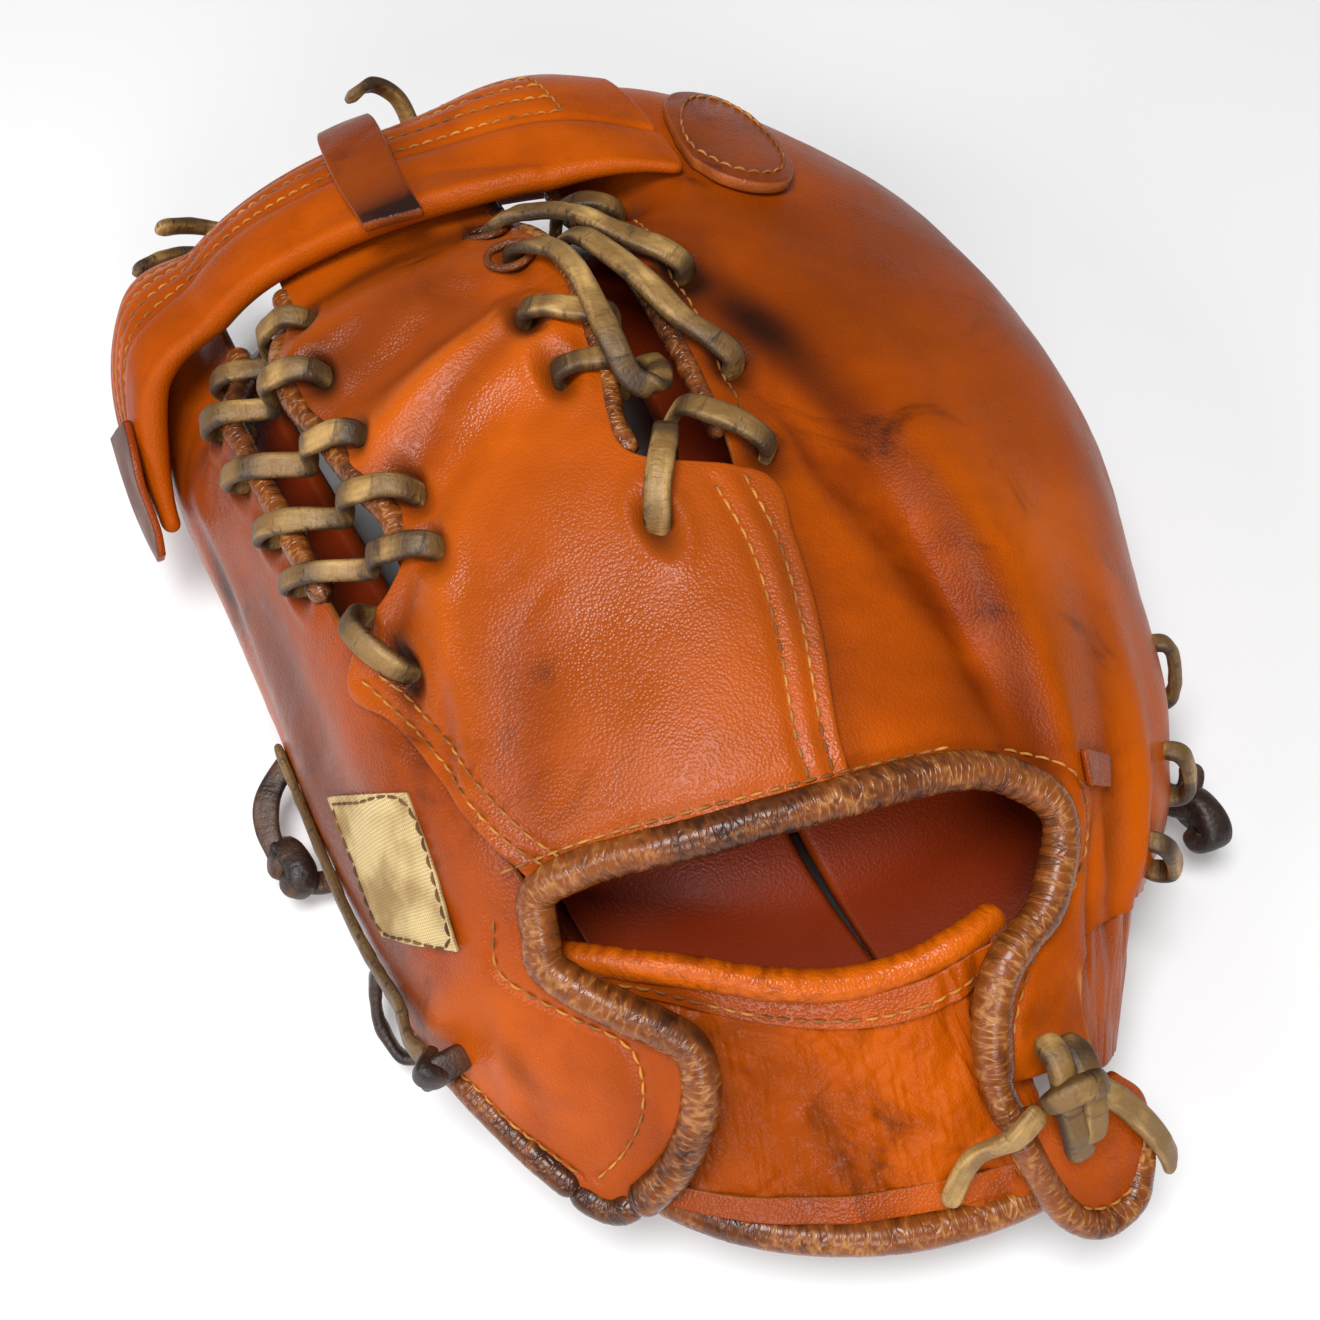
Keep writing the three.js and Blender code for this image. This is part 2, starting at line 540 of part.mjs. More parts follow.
laceRoutes.thumb_gap_lace_7 = [
  [0.038, 4.95, -5], [0.04, 4.95, 0], [0.046, 4.93, 5.4], [0.066, 4.9, 8], [0.09, 4.86, 7.4],
  [0.113, 4.83, 4.4], [0.117, 4.83, -1], [0.117, 4.83, -7],
];
laceRoutes.finger_crotch_lace = [
  [-0.505, 3.26, -7], [-0.505, 3.26, -1], [-0.505, 3.25, 6.5], [-0.5, 3.18, 10], [-0.487, 3.06, 10],
  [-0.475, 2.96, 6.5], [-0.474, 2.95, -1], [-0.474, 2.95, -7],
];
laceRoutes.thumb_crotch_lace = [
  [0.02, 3.46, -7], [0.02, 3.46, -1], [0.018, 3.44, 6.5], [0.004, 3.33, 10], [-0.024, 3.18, 10],
  [-0.037, 3.09, 6.5], [-0.038, 3.08, -1], [-0.038, 3.08, -7],
];

// Laces that end loose in the gap pass through the leather at one end only. The loose end is
// 0, the first, or 1, the last.
const looseEnds = {
  thumb_gap_lace_2: 0,
  thumb_gap_lace_3: 1,
  thumb_gap_lace_4: 0,
  thumb_gap_lace_5: 1,
  thumb_gap_lace_6: 1,
  thumb_gap_lace_7: 0,
};
const eyeletPlay = 1.9; // room on each side of a lace in its eyelet
const eyeletBottom = -5; // the eyelet's cutter runs from here
const eyeletTop = 7.5; // to here, measured from the skin

// A short square post through the leather at each end of a lace: the eyelet that it passes through
function eyelets([name, points]) {
  const w = laceWidth / 2 + eyeletPlay;
  const h = laceThick / 2 + eyeletPlay;
  const square = [[w, h], [-w, h], [-w, -h], [w, -h]];
  const [u, v] = points[Math.floor(points.length / 2)];
  const ends = [points[0], points[points.length - 1]].filter((end, k) => looseEnds[name] !== k);
  return ends.map(([u1, v1]) => {
    const foot = onLobe(u1, v1, eyeletBottom);
    const head = onLobe(u1, v1, eyeletTop);
    return sweep([foot, head], onLobe(u, v, 0).sub(foot), square);
  });
}

const laceEyelets = Object.entries(laceRoutes).flatMap(eyelets);

// Panels of the wrist

const thumbHeelRows = [
  { u: 0.42, v: 0.98, u2: 1, v2: 1.32 },
  { u: 0.4, v: 0.76, u2: 1, v2: 0.92 },
  { u: 0.4, v: 0.54, u2: 0.98, v2: 0.56 },
  { u: 0.43, v: 0.34, u2: 0.86, v2: 0.26 },
];
const tabRows = [
  { u: 0.04, v: 0.43, u2: 0.36, v2: 0.43 },
  { u: 0.03, v: 0.3, u2: 0.44, v2: 0.3 },
  { u: 0.035, v: 0.14, u2: 0.46, v2: 0.14 },
  { u: 0.075, v: -0.02, u2: 0.42, v2: -0.02 },
  { u: 0.14, v: -0.1, u2: 0.36, v2: -0.12 },
];

const tabHeight = 4.4; // the round tab lies this far above the skin
const tabRise = 2.5; // and this much more at its outer end
const strapSink = 3.4; // the wrist strap lies this far below the skin at its lower edge
const strapHollow = 6; // and this much more at its upper edge
const strapWave = 1.2; // its slow wave from side to side
const tabRadius = 3.2;
const strapTopRadius = 3.4;
const strapBottomRadius = 3.8;

const skinHeight = (height) => (u, v, h) => onSkin(u, v, h + height(u, v));
const tabPlace = skinHeight((u) => tabHeight + tabRise * smooth(0.15, 0.45, u));
const strapPlace = skinHeight((u, v) => (
  strapWave * Math.sin(u * 9) - strapSink - strapHollow * smooth(0.05, 0.7, v)
));

const tabBinding = skinSweep(tabLine, 14, round(tabRadius, 6), 0, onSkin);
const grownTabBinding = skinSweep(tabLine, 14, round(tabRadius, 6), gap, onSkin);
const strapTop = skinSweep(strapTopLine, 12, round(strapTopRadius, 6), 0, onSkin);
const strapBottom = skinSweep(strapBottomLine, 10, round(strapBottomRadius, 6), 0, onSkin);

const strapTrim = 4.4;
const heelDepth = 3.6; // the heel pad lies this far below the thumb lobe's leather
const strapRows = [
  { u: -0.5, v: 1.46, u2: -0.52, v2: 0.14, trim: strapTrim, trim2: strapTrim },
  { u: -0.4, v: 1.4, u2: -0.42, v2: 0.08, trim: strapTrim, trim2: strapTrim },
  { u: -0.3, v: 1.26, u2: -0.32, v2: 0.02, trim: strapTrim, trim2: strapTrim },
  { u: -0.19, v: 1.1, u2: -0.2, v2: 0, trim: strapTrim, trim2: strapTrim },
  { u: -0.06, v: 1.01, u2: -0.06, v2: -0.01, trim: strapTrim, trim2: strapTrim },
  { u: 0.08, v: 1.04, u2: 0.06, v2: 0.02, trim: strapTrim, trim2: strapTrim },
  { u: 0.2, v: 1.1, u2: 0.17, v2: 0.06, trim: strapTrim, trim2: strapTrim },
];

const backThumb = panel({ rows: backThumbRows, lines: 18, columns: 7 });
const backFinger = panel({ rows: backFingerRows, lines: 17, columns: 5 });
const backMiddle = panel({
  rows: backMiddleRows, lines: 16, columns: 6, height: overlap, last: middleEnd,
});
const thumbTab = panel({ rows: tabRows, lines: 6, columns: 4, place: tabPlace });
const thumbHeel = panel({ rows: thumbHeelRows, lines: 4, columns: 6, height: -heelDepth });
const wristStrap = panel({ rows: strapRows, lines: 9, columns: 5, place: strapPlace });

// Palm: three padded slabs that meet in the pocket and part at the laced gaps

// 1 on the padded rim, at the heel and at the tips, 0 in the pocket
function rimShare(u, v) {
  return Math.max(smooth(0.7, 0.97, Math.abs(u)), 1 - smooth(0.05, 0.7, v), smooth(6, 6.85, v));
}

// Thickness runs across the palm, but straight up and down at the heel and at the tips
function palmNormal(u, v) {
  const level = Math.max(1 - smooth(0.1, 1.5, v), smooth(5.7, 6.9, v));
  return normalOf(palmPoint, u, v).lerp(new THREE.Vector3(0, 0, 1), level).normalize();
}

// Sides of the two gaps as the palm has them: parted beyond the crotch, meeting before it
const palmGaps = [
  { v: 0, fingerSide: -0.38, middleLeft: -0.32, middleRight: 0.08, thumbSide: 0.17 },
  { v: 1, fingerSide: -0.4, middleLeft: -0.36, middleRight: 0.06, thumbSide: 0.1 },
  { v: 2, fingerSide: -0.44, middleLeft: -0.4, middleRight: 0.02, thumbSide: 0.06 },
  { v: 3, fingerSide: -0.5, middleLeft: -0.45, middleRight: 0, thumbSide: 0.05 },
  { v: 4, fingerSide: -0.555, middleLeft: -0.455, middleRight: -0.035, thumbSide: 0.085 },
  { v: 5, fingerSide: -0.58, middleLeft: -0.455, middleRight: -0.04, thumbSide: 0.085 },
  { v: 6, fingerSide: -0.59, middleLeft: -0.46, middleRight: -0.05, thumbSide: 0.1 },
  { v: 7, fingerSide: -0.6, middleLeft: -0.48, middleRight: -0.06, thumbSide: 0.12 },
];

const seamReach = 1.6; // how far a palm slab bulges out where it meets its neighbour

function palm({ from, to, columns }) {
  return slab({
    lines: 12,
    columns,
    rings: 2,
    floor: true,
    cellAt: (t, s) => {
      const v = t * 7;
      const sides = between(palmGaps, v);
      const [start, end] = [from(sides), to(sides)];
      const u = start + (end - start) * s;
      const half = pocketHalf + (rimThickness(v) - pocketHalf) * rimShare(u, v);
      const onSeam = (s === 0 || s === 1) && Math.abs(u) < 1;
      return {
        point: palmPoint(u, v),
        normal: palmNormal(u, v),
        half,
        reach: onSeam ? seamReach : half,
      };
    },
  });
}

const palmFinger = palm({ from: () => -1, to: (row) => row.fingerSide, columns: 6 });
const palmMiddle = palm({ from: (row) => row.middleLeft, to: (row) => row.middleRight, columns: 4 });
const palmThumb = palm({ from: (row) => row.thumbSide, to: () => 1, columns: 7 });

// Tip strap: a padded band over the lobes' tips, held by a keeper and a round-ended patch

const tipStrapRows = [
  { u: -0.9, v: 4.62, u2: -0.95, v2: 4.85 },
  { u: -0.81, v: 4.95, u2: -0.97, v2: 5.3 },
  { u: -0.68, v: 5.22, u2: -0.85, v2: 5.85 },
  { u: -0.5, v: 5.28, u2: -0.56, v2: 6.2 },
  { u: -0.3, v: 5.2, u2: -0.33, v2: 6.22 },
  { u: -0.1, v: 5.1, u2: -0.1, v2: 6.2 },
  { u: 0.08, v: 5.02, u2: 0.1, v2: 6.02 },
  { u: 0.2, v: 4.88, u2: 0.235, v2: 5.74 },
];
const patchRows = [
  { u: 0.228, v: 4.93, u2: 0.238, v2: 5.14 },
  { u: 0.248, v: 4.78, u2: 0.268, v2: 5.4 },
  { u: 0.288, v: 4.71, u2: 0.312, v2: 5.56 },
  { u: 0.335, v: 4.74, u2: 0.362, v2: 5.62 },
  { u: 0.374, v: 4.9, u2: 0.402, v2: 5.58 },
  { u: 0.4, v: 5.12, u2: 0.42, v2: 5.42 },
];
const keeperRows = [
  { u: -0.235, v: 5, u2: -0.15, v2: 4.95 },
  { u: -0.24, v: 5.35, u2: -0.15, v2: 5.3 },
  { u: -0.235, v: 5.8, u2: -0.14, v2: 5.78 },
  { u: -0.22, v: 6.15, u2: -0.14, v2: 6.13 },
];
const pointRows = [
  { u: -0.79, v: 5.1, u2: -0.89, v2: 5.32 },
  { u: -0.81, v: 4.86, u2: -0.93, v2: 5.02 },
  { u: -0.87, v: 4.62, u2: -0.95, v2: 4.72 },
  { u: -0.92, v: 4.5, u2: -0.94, v2: 4.52 },
];
const strapThick = 7;
const strapLow = -1.8; // middle of the tip strap above the skin, over the middle lobe
const strapLeftClimb = 8.6; // it climbs this much where its left end lies over the finger lobe
const strapRightClimb = 6.2; // and this much where its right end lies on the thumb lobe
const pointShare = 0.55; // thickness of its left point
const endShare = 0.6; // share of its thickness that it loses at the right end

function tipStrapHeight(u, v) {
  const left = smooth(0.56, 0.74, -u);
  const right = smooth(-0.12, 0.18, u);
  const low = (1 - smooth(4.75, 5.3, v)) * (1 - smooth(0.02, 0.1, u));
  return strapLow + Math.max(strapLeftClimb * Math.max(low, left), strapRightClimb * right);
}

function tipStrapHalf(t) {
  const point = pointShare + (1 - pointShare) * smooth(0, 0.16, t);
  return strapThick / 2 * point * (1 - endShare * smooth(0.8, 1, t));
}

const tipStrap = slab({
  lines: 14,
  columns: 4,
  rings: 1,
  cellAt: (t, s) => {
    const row = between(tipStrapRows, t * (tipStrapRows.length - 1));
    const u = row.u + (row.u2 - row.u) * s;
    const v = row.v + (row.v2 - row.v) * s;
    return {
      point: onSkin(u, v, tipStrapHeight(u, v)),
      normal: normalOf(skinPoint, u, v),
      half: tipStrapHalf(t),
    };
  },
});

const strapTopHeight = strapLow + strapThick / 2 + 3 * gap;
const pointPlace = (u, v, h) => onSkin(u, v, h + tipStrapHeight(u, v) - strapLow);
const thumbTipPatch = panel({
  rows: patchRows, lines: 6, columns: 4, height: leather + gap, thick: 2.6,
});
const tipStrapKeeper = panel({
  rows: keeperRows, lines: 7, columns: 2, height: strapTopHeight + 1, thick: 2.4, place: onSkin,
});
const tipStrapPoint = panel({
  rows: pointRows, lines: 5, columns: 2, height: strapTopHeight, thick: 2, place: pointPlace,
});

// Small pieces on the back
const labelRows = [
  { u: -0.805, v: 2.74, u2: -0.56, v2: 2.52 },
  { u: -0.8, v: 2.34, u2: -0.57, v2: 2.14 },
  { u: -0.79, v: 1.95, u2: -0.583, v2: 1.78 },
];
const labelPatch = panel({
  rows: labelRows, lines: 4, columns: 3, height: leather + 2 * gap, thick: 0.9,
});
const slitStrip = panel({
  rows: [{ u: 0.41, v: 1.95, u2: 0.415, v2: 1.79 }, { u: 0.495, v: 1.92, u2: 0.492, v2: 1.77 }],
  lines: 3,
  columns: 1,
  height: leather + 7 * gap,
  thick: 1.8,
});

// Wrist knot: two strands over a third, in one piece, with two free tails
const wristKnotStrands = [
  [
    [0.165, 0.71, 8.5], [0.16, 0.66, 13], [0.142, 0.52, 15], [0.14, 0.38, 14], [0.15, 0.28, 11.5],
    [0.158, 0.24, 9],
  ],
  [[0.215, 0.68, 8.5], [0.212, 0.63, 13], [0.195, 0.5, 15.5], [0.185, 0.38, 14.5], [0.176, 0.3, 12]],
  [[0.1, 0.5, 12], [0.115, 0.53, 15], [0.15, 0.56, 17.2], [0.2, 0.56, 17.6], [0.23, 0.53, 15]],
];
const knotOf = (strands, section, place, grow = 0) => strands
  .map((points) => skinSweep(points, 4, section, grow, place))
  .reduce((whole, strand) => whole.add(strand));
const wristKnotSection = strip(5.6, 3.4);
const wristKnot = knotOf(wristKnotStrands, wristKnotSection, onSkin);
const grownWristKnot = knotOf(wristKnotStrands, wristKnotSection, onSkin, gap);
const grownOpening = skinSweep(openingLine, 36, round(rollRadius, 6), gap);
const grownHem = skinSweep(hemLine, 9, round(hemRadius, 6), gap);
const tails = {
  wrist_tail_left: {
    points: [
      [0.085, 0.5, 13], [0.045, 0.47, 13.6], [0, 0.42, 12.2], [-0.05, 0.31, 4.5], [-0.09, 0.16, 1],
      [-0.105, 0.1, 1],
    ],
    steps: 9,
    section: strip(looseWidth, 2.6),
  },
  wrist_tail_right: {
    points: [
      [0.235, 0.48, 12], [0.29, 0.4, 12.4], [0.36, 0.26, 12.8], [0.43, 0.1, 13], [0.49, -0.04, 12.6],
      [0.515, -0.1, 12],
    ],
    steps: 9,
    section: strip(laceWidth, 2.6),
  },
};

// Laces over the rim, side knots and loose ends. Each route is over the skin unless it is free.
const rimLaces = {
  rim_lace_right_1: [
    [0.8, 2.52, 0], [0.8, 2.5, 4.5], [0.87, 2.42, 6], [0.93, 2.36, 4.5], [0.94, 2.34, -1],
  ],
  rim_lace_right_2: [
    [0.72, 1.98, 0], [0.72, 1.96, 4.5], [0.8, 1.88, 6], [0.88, 1.82, 4.5], [0.89, 1.8, -1],
  ],
  rim_lace_right_3: [
    [0.64, 1.47, 0], [0.64, 1.45, 4.5], [0.72, 1.37, 6], [0.8, 1.31, 4.5], [0.81, 1.29, -1],
  ],
};
const rimLace = (points, grow = 0) => skinSweep(points, 7, strip(looseWidth), grow);
const grownRimLaces = Object.values(rimLaces).map((points) => rimLace(points, gap));
const leftLoopPoints = [
  [-81, -46, 20], [-83, -50, 16], [-84, -55, 12], [-83, -60, 9.5], [-81, -64, 9], [-76, -66, 10],
];
const leftLoop = sweep(freeRoute(leftLoopPoints, 10), new THREE.Vector3(-1, 0, 0), strip(7, 3));
const sideStrip = strip(6, 3);
const strand = (points, section) => sweep(freeRoute(points, 4), new THREE.Vector3(0, 0, 1), section);
const leftKnotStrands = [
  { points: [[-99, -13, 9], [-95, -9, 12], [-93, -15, 12], [-97, -18, 9]], section: round(4, 5) },
  {
    points: [[-84.5, 12, 18.5], [-90, 11, 16.5], [-96, 5, 15], [-98, -2, 13], [-96.5, -11, 10.5]],
    section: sideStrip,
  },
  { points: [[-95, -15, 10], [-90, -17, 8.5], [-85, -17, 7]], section: sideStrip },
];
const rightKnotStrands = [
  { points: [[105, -62, 16], [110, -67, 20.5], [111, -73, 18], [107, -72, 13]], section: round(4, 5) },
  { points: [[101, -57, 14.5], [105, -61, 17], [109, -66, 18], [112, -70, 14]], section: round(3.4, 5) },
  { points: [[106, -66, 20], [111, -61, 21], [114, -56, 19]], section: sideStrip },
];
const freeKnot = (strands) => strands
  .map(({ points, section }) => strand(points, section))
  .reduce((whole, next) => whole.add(next));
const tipEnds = {
  tip_end_curl: [
    [-0.05, 6.42, 3], [-0.046, 6.38, 9], [-0.06, 6.32, 14], [-0.1, 6.26, 17], [-0.155, 6.22, 14],
  ],
  tip_end_flat: [[-0.14, 6.6, 5], [-0.06, 6.66, 8], [0.02, 6.66, 8], [0.1, 6.6, 5]],
  tip_end_left_upper: [[-0.56, 6.62, 5], [-0.575, 6.58, 9], [-0.61, 6.48, 13], [-0.65, 6.32, 16]],
  tip_end_left_lower: [[-0.665, 6.62, 5], [-0.68, 6.58, 8], [-0.705, 6.42, 11], [-0.74, 6.2, 12.5]],
};
const leftTailPoints = [
  [-0.74, 1, 7.5], [-0.79, 1.16, 7.5], [-0.83, 1.4, 4.4], [-0.87, 1.65, 3.8], [-0.905, 1.95, 3.8],
  [-0.94, 2.3, 3.8], [-0.965, 2.65, 3.8], [-0.98, 3, 3.8], [-0.985, 3.3, 3.8],
];
const leftTailKnotStrands = [
  [[-0.72, 0.99, 0], [-0.728, 1, 7], [-0.75, 0.98, 9.5], [-0.79, 0.88, 8]],
  [[-0.76, 1.08, 5.5], [-0.745, 1, 10.5], [-0.74, 0.9, 6]],
];
const leftTailKnotSection = strip(6.5, 4);
const leftTailKnot = knotOf(leftTailKnotStrands, leftTailKnotSection, onLobe);
const grownLeftTailKnot = knotOf(leftTailKnotStrands, leftTailKnotSection, onLobe, gap);
const leftTail = carve(skinSweep(leftTailPoints, 14, strip(looseWidth, 2.4)), [grownLeftTailKnot]);

const fingerCutters = [...laceEyelets, grownOpening, grownHem, grownLeftTailKnot];
const thumbCutters = [...laceEyelets, grownOpening, ...grownRimLaces];

const group = new THREE.Group();

function addPiece(name, solid, tone) {
  const { vertProperties, triVerts } = solid.getMesh();
  const geometry = new THREE.BufferGeometry();
  geometry.setAttribute('position', new THREE.BufferAttribute(new Float32Array(vertProperties), 3));
  geometry.setIndex(new THREE.BufferAttribute(new Uint32Array(triVerts), 1));
  geometry.computeVertexNormals();
  const mesh = new THREE.Mesh(geometry, new THREE.MeshStandardMaterial({ metalness: 0, ...tone }));
  mesh.name = name;
  group.add(mesh);
}

addPiece('palm_finger', palmFinger, tones.padding);
addPiece('palm_middle', palmMiddle, tones.padding);
addPiece('palm_thumb', palmThumb, tones.padding);
addPiece('back_finger', carve(backFinger, fingerCutters), tones.leather);
addPiece('back_middle', carve(backMiddle, laceEyelets), tones.leather);
addPiece('back_thumb', carve(backThumb, thumbCutters), tones.leather);
addPiece('thumb_heel', thumbHeel, tones.leather);
addPiece('thumb_tab', carve(thumbTab, [grownTabBinding]), tones.leather);
addPiece('wrist_strap', carve(wristStrap, [grownOpening]), tones.leather);
addPiece('strap_top_roll', strapTop, tones.leather);
addPiece('strap_bottom_roll', strapBottom, tones.binding);
addPiece('tab_binding', tabBinding, tones.binding);
for (const [name, { points, steps, section }] of Object.entries(rollRoutes)) {
  addPiece(name, skinSweep(points, steps, section), tones.binding);
}
for (const [name, points] of Object.entries(laceRoutes)) {
  addPiece(name, skinSweepThrough(points, strip()), tones.lace);
}
addPiece('tip_strap', tipStrap, tones.leather);
addPiece('thumb_tip_patch', thumbTipPatch, tones.leather);
addPiece('tip_strap_keeper', tipStrapKeeper, tones.leather);
addPiece('tip_strap_point', tipStrapPoint, tones.binding);
addPiece('label_patch', labelPatch, tones.cloth);
addPiece('slit_strip', slitStrip, tones.darkLace);
addPiece('wrist_knot', wristKnot, tones.lace);
for (const [name, { points, steps, section }] of Object.entries(tails)) {
  addPiece(name, carve(skinSweep(points, steps, section, 0, onSkin), [grownWristKnot]), tones.lace);
}
for (const [name, points] of Object.entries(rimLaces)) {
  addPiece(name, rimLace(points), tones.lace);
}
addPiece('left_loop', leftLoop, tones.darkLace);
addPiece('left_knot', freeKnot(leftKnotStrands), tones.darkLace);
addPiece('right_knot', freeKnot(rightKnotStrands), tones.darkLace);
for (const [name, points] of Object.entries(tipEnds)) {
  addPiece(name, skinSweep(points, 7, strip(), 0, onSkin), tones.lace);
}
addPiece('left_tail_knot', leftTailKnot, tones.lace);
addPiece('left_tail', leftTail, tones.lace);

export default group;
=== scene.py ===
import json
import bpy
import numpy as np
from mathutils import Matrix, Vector

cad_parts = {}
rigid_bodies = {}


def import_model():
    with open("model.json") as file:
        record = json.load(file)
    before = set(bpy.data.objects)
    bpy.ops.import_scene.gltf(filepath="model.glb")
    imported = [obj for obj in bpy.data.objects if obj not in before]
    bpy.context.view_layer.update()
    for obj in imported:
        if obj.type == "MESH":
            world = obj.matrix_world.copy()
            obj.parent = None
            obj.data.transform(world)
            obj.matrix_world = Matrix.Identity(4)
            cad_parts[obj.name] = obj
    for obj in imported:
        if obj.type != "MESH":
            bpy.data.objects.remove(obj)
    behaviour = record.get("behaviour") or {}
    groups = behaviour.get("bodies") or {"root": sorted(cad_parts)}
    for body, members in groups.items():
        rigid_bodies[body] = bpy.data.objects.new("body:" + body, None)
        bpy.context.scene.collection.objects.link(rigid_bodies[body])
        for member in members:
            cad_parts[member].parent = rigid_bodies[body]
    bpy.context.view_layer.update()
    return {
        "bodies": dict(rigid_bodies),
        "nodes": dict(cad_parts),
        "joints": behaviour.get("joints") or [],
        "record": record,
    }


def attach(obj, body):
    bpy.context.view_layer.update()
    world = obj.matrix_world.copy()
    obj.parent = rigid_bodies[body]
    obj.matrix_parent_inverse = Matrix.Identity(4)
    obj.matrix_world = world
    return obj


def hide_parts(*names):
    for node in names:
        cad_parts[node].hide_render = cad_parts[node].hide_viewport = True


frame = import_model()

print("frame loaded")

# The mitt's own sizes, in metres. u runs across its skin from the left rim, -1, to the right rim, 1,
# v along it from the wrist hem, 0, to the finger tips, 7.
mitt = {
    "centre": (.0049, .0068),  # middle of the mitt in the ribs' own frame
    "rimTop": .022,            # where the back leather meets the padded rim
    "rimHalf": .0106,          # half the padded rim's thickness
    "rimMargin": .0023,        # how much further inside than that the palm's middle ends
    "pocketHalf": .0032,       # half the palm's thickness in the pocket
    "pressed": .84,            # the rim's middle above the ground against its half thickness
    "heelShare": .5,           # the rim's thickness at the heel against that at the sides
    "tipLoss": .3,             # share of its thickness that the rim loses at the tips
    "leather": .0022,
    "overlap": .0031,          # the middle panel lies on its neighbours at this height
    "gap": .00035,             # air between two layers
    "fullness": 2.1,           # exponent of the arch: 2 is an ellipse, more is squarer
    "tipSink": .012,           # depth of the groove that holds the tip strap
    "acrossScale": .17,        # metres of skin to one unit of u
    "alongScale": .046,        # metres of skin to one unit of v
}
grooveEnds = {"near": (4.5, 5.08), "far": (6.3, 6.8), "left": (.72, .92), "right": (.13, .21)}  # in v, v, -u and u

# leftX, leftY, crownX, crownY, crownZ, rightX, rightY, palmZ of each rib, wrist to tips
ribs = [
    (-.068, -.078, .034, -.141, .033, .063, -.112, .008),
    (-.075, -.060, .020, -.102, .070, .081, -.088, .024),
    (-.080, -.038, .006, -.069, .093, .101, -.058, .054),
    (-.085, .000, .002, -.014, .104, .114, -.008, .069),
    (-.091, .046, .000, .040, .104, .119, .042, .071),
    (-.098, .090, -.004, .092, .099, .108, .090, .066),
    (-.098, .126, -.010, .136, .085, .078, .130, .038),
    (-.070, .154, -.014, .162, .022, .030, .158, .012),
]


def between(rows, t):  # smooth values between rows one step apart: uniform Catmull-Rom
    rows = np.asarray(rows, float)
    t = np.asarray(t, float)
    last = len(rows) - 1
    i = np.clip(np.floor(t).astype(int), 0, last - 1)
    s = (t - i)[..., None]
    b, c = rows[i], rows[i + 1]
    a = np.where((i > 0)[..., None], rows[np.maximum(i - 1, 0)], 2 * b - c)
    d = np.where((i + 2 <= last)[..., None], rows[np.minimum(i + 2, last)], 2 * c - b)
    return .5 * (2 * b + (c - a) * s + (2 * a - 5 * b + 4 * c - d) * s**2 + (3 * b - a - 3 * c + d) * s**3)


def smooth(low, high, x):  # eased step from 0 at low to 1 at high
    t = np.clip((np.asarray(x, float) - low) / (high - low), 0, 1)
    return t * t * (3 - 2 * t)


def bell(x):  # 1 at 0, falling off to both sides
    return np.exp(-(x**2))


def unit(vectors):  # each vector over its own length
    return vectors / np.maximum(np.linalg.norm(vectors, axis=-1, keepdims=True), 1e-12)


def grids(u, v):  # both as arrays of one shape
    return np.broadcast_arrays(np.asarray(u, float), np.asarray(v, float))


def arch(u, left, right, crown):
    # foot to crown to foot along a rounded square: across = sin, rise = (1 - across^n)^(1/n)
    across = np.sin(np.minimum(np.abs(u), 1) * np.pi / 2)
    rise = np.maximum(1 - across**mitt["fullness"], 1e-6) ** (1 / mitt["fullness"])
    foot = np.where((u < 0)[..., None], left, right)
    x = crown[..., 0] + (foot[..., 0] - crown[..., 0]) * across
    y = foot[..., 1] + (crown[..., 1] - foot[..., 1]) * rise
    z = foot[..., 2] + (crown[..., 2] - foot[..., 2]) * rise
    return np.stack([x - mitt["centre"][0], y - mitt["centre"][1], z], -1)


def skin(u, v):  # the mitt's back without folds: an arch on each rib, from rim to rim
    u, v = grids(u, v)
    rib = between(ribs, v)
    level = np.full(u.shape, mitt["rimTop"])
    left = np.stack([rib[..., 0], rib[..., 1], level], -1)
    right = np.stack([rib[..., 5], rib[..., 6], level], -1)
    return arch(u, left, right, rib[..., 2:5])


def rimThickness(v):  # half thickness of the padded rim, less towards the heel and the tips
    heel = mitt["heelShare"] + (1 - mitt["heelShare"]) * smooth(0, 1.1, v)
    return mitt["rimHalf"] * heel * (1 - mitt["tipLoss"] * smooth(5.9, 7, v))


def palm(u, v):  # middle of the palm's thickness, an arch inside the skin
    u, v = grids(u, v)
    rib = between(ribs, v)
    inset = mitt["rimHalf"] + mitt["rimMargin"]
    halfway = (len(ribs) - 1) / 2
    shrink = (v - halfway) / halfway * inset
    level = rimThickness(v) * mitt["pressed"]
    left = np.stack([rib[..., 0] + inset, rib[..., 1] - shrink, level], -1)
    right = np.stack([rib[..., 5] - inset, rib[..., 6] - shrink, level], -1)
    crown = np.stack([rib[..., 2], rib[..., 3] - shrink * 1.1, rib[..., 7]], -1)
    return arch(u, left, right, crown)


def normalOf(surface, u, v, step=.012):  # cross product of the surface's two ways, each over a short step
    u, v = grids(u, v)
    alongU = surface(np.minimum(u + step, 1), v) - surface(np.maximum(u - step, -1), v)
    alongV = surface(u, v + step) - surface(u, v - step)
    return unit(np.cross(alongU, alongV))


# Folds of the back leather: u, v, half length, half width, turn from +X in degrees, height
folds = [
    (-.27, 4.32, .034, .008, 18, -.004),
    (-.17, 3.98, .040, .009, 8, .0032),
    (-.25, 3.62, .030, .009, 20, -.003),
    (-.47, 2.85, .016, .009, 70, -.003),
    (.26, 2.9, .046, .009, 105, -.003),
    (.36, 2.5, .044, .010, 100, .0034),
    (.47, 1.55, .030, .009, 95, -.0032),
    (.62, 3.6, .050, .026, 90, .003),
    (-.78, 3.3, .046, .016, 90, -.003),
    (-.2, 2.7, .026, .018, 0, -.002),
]


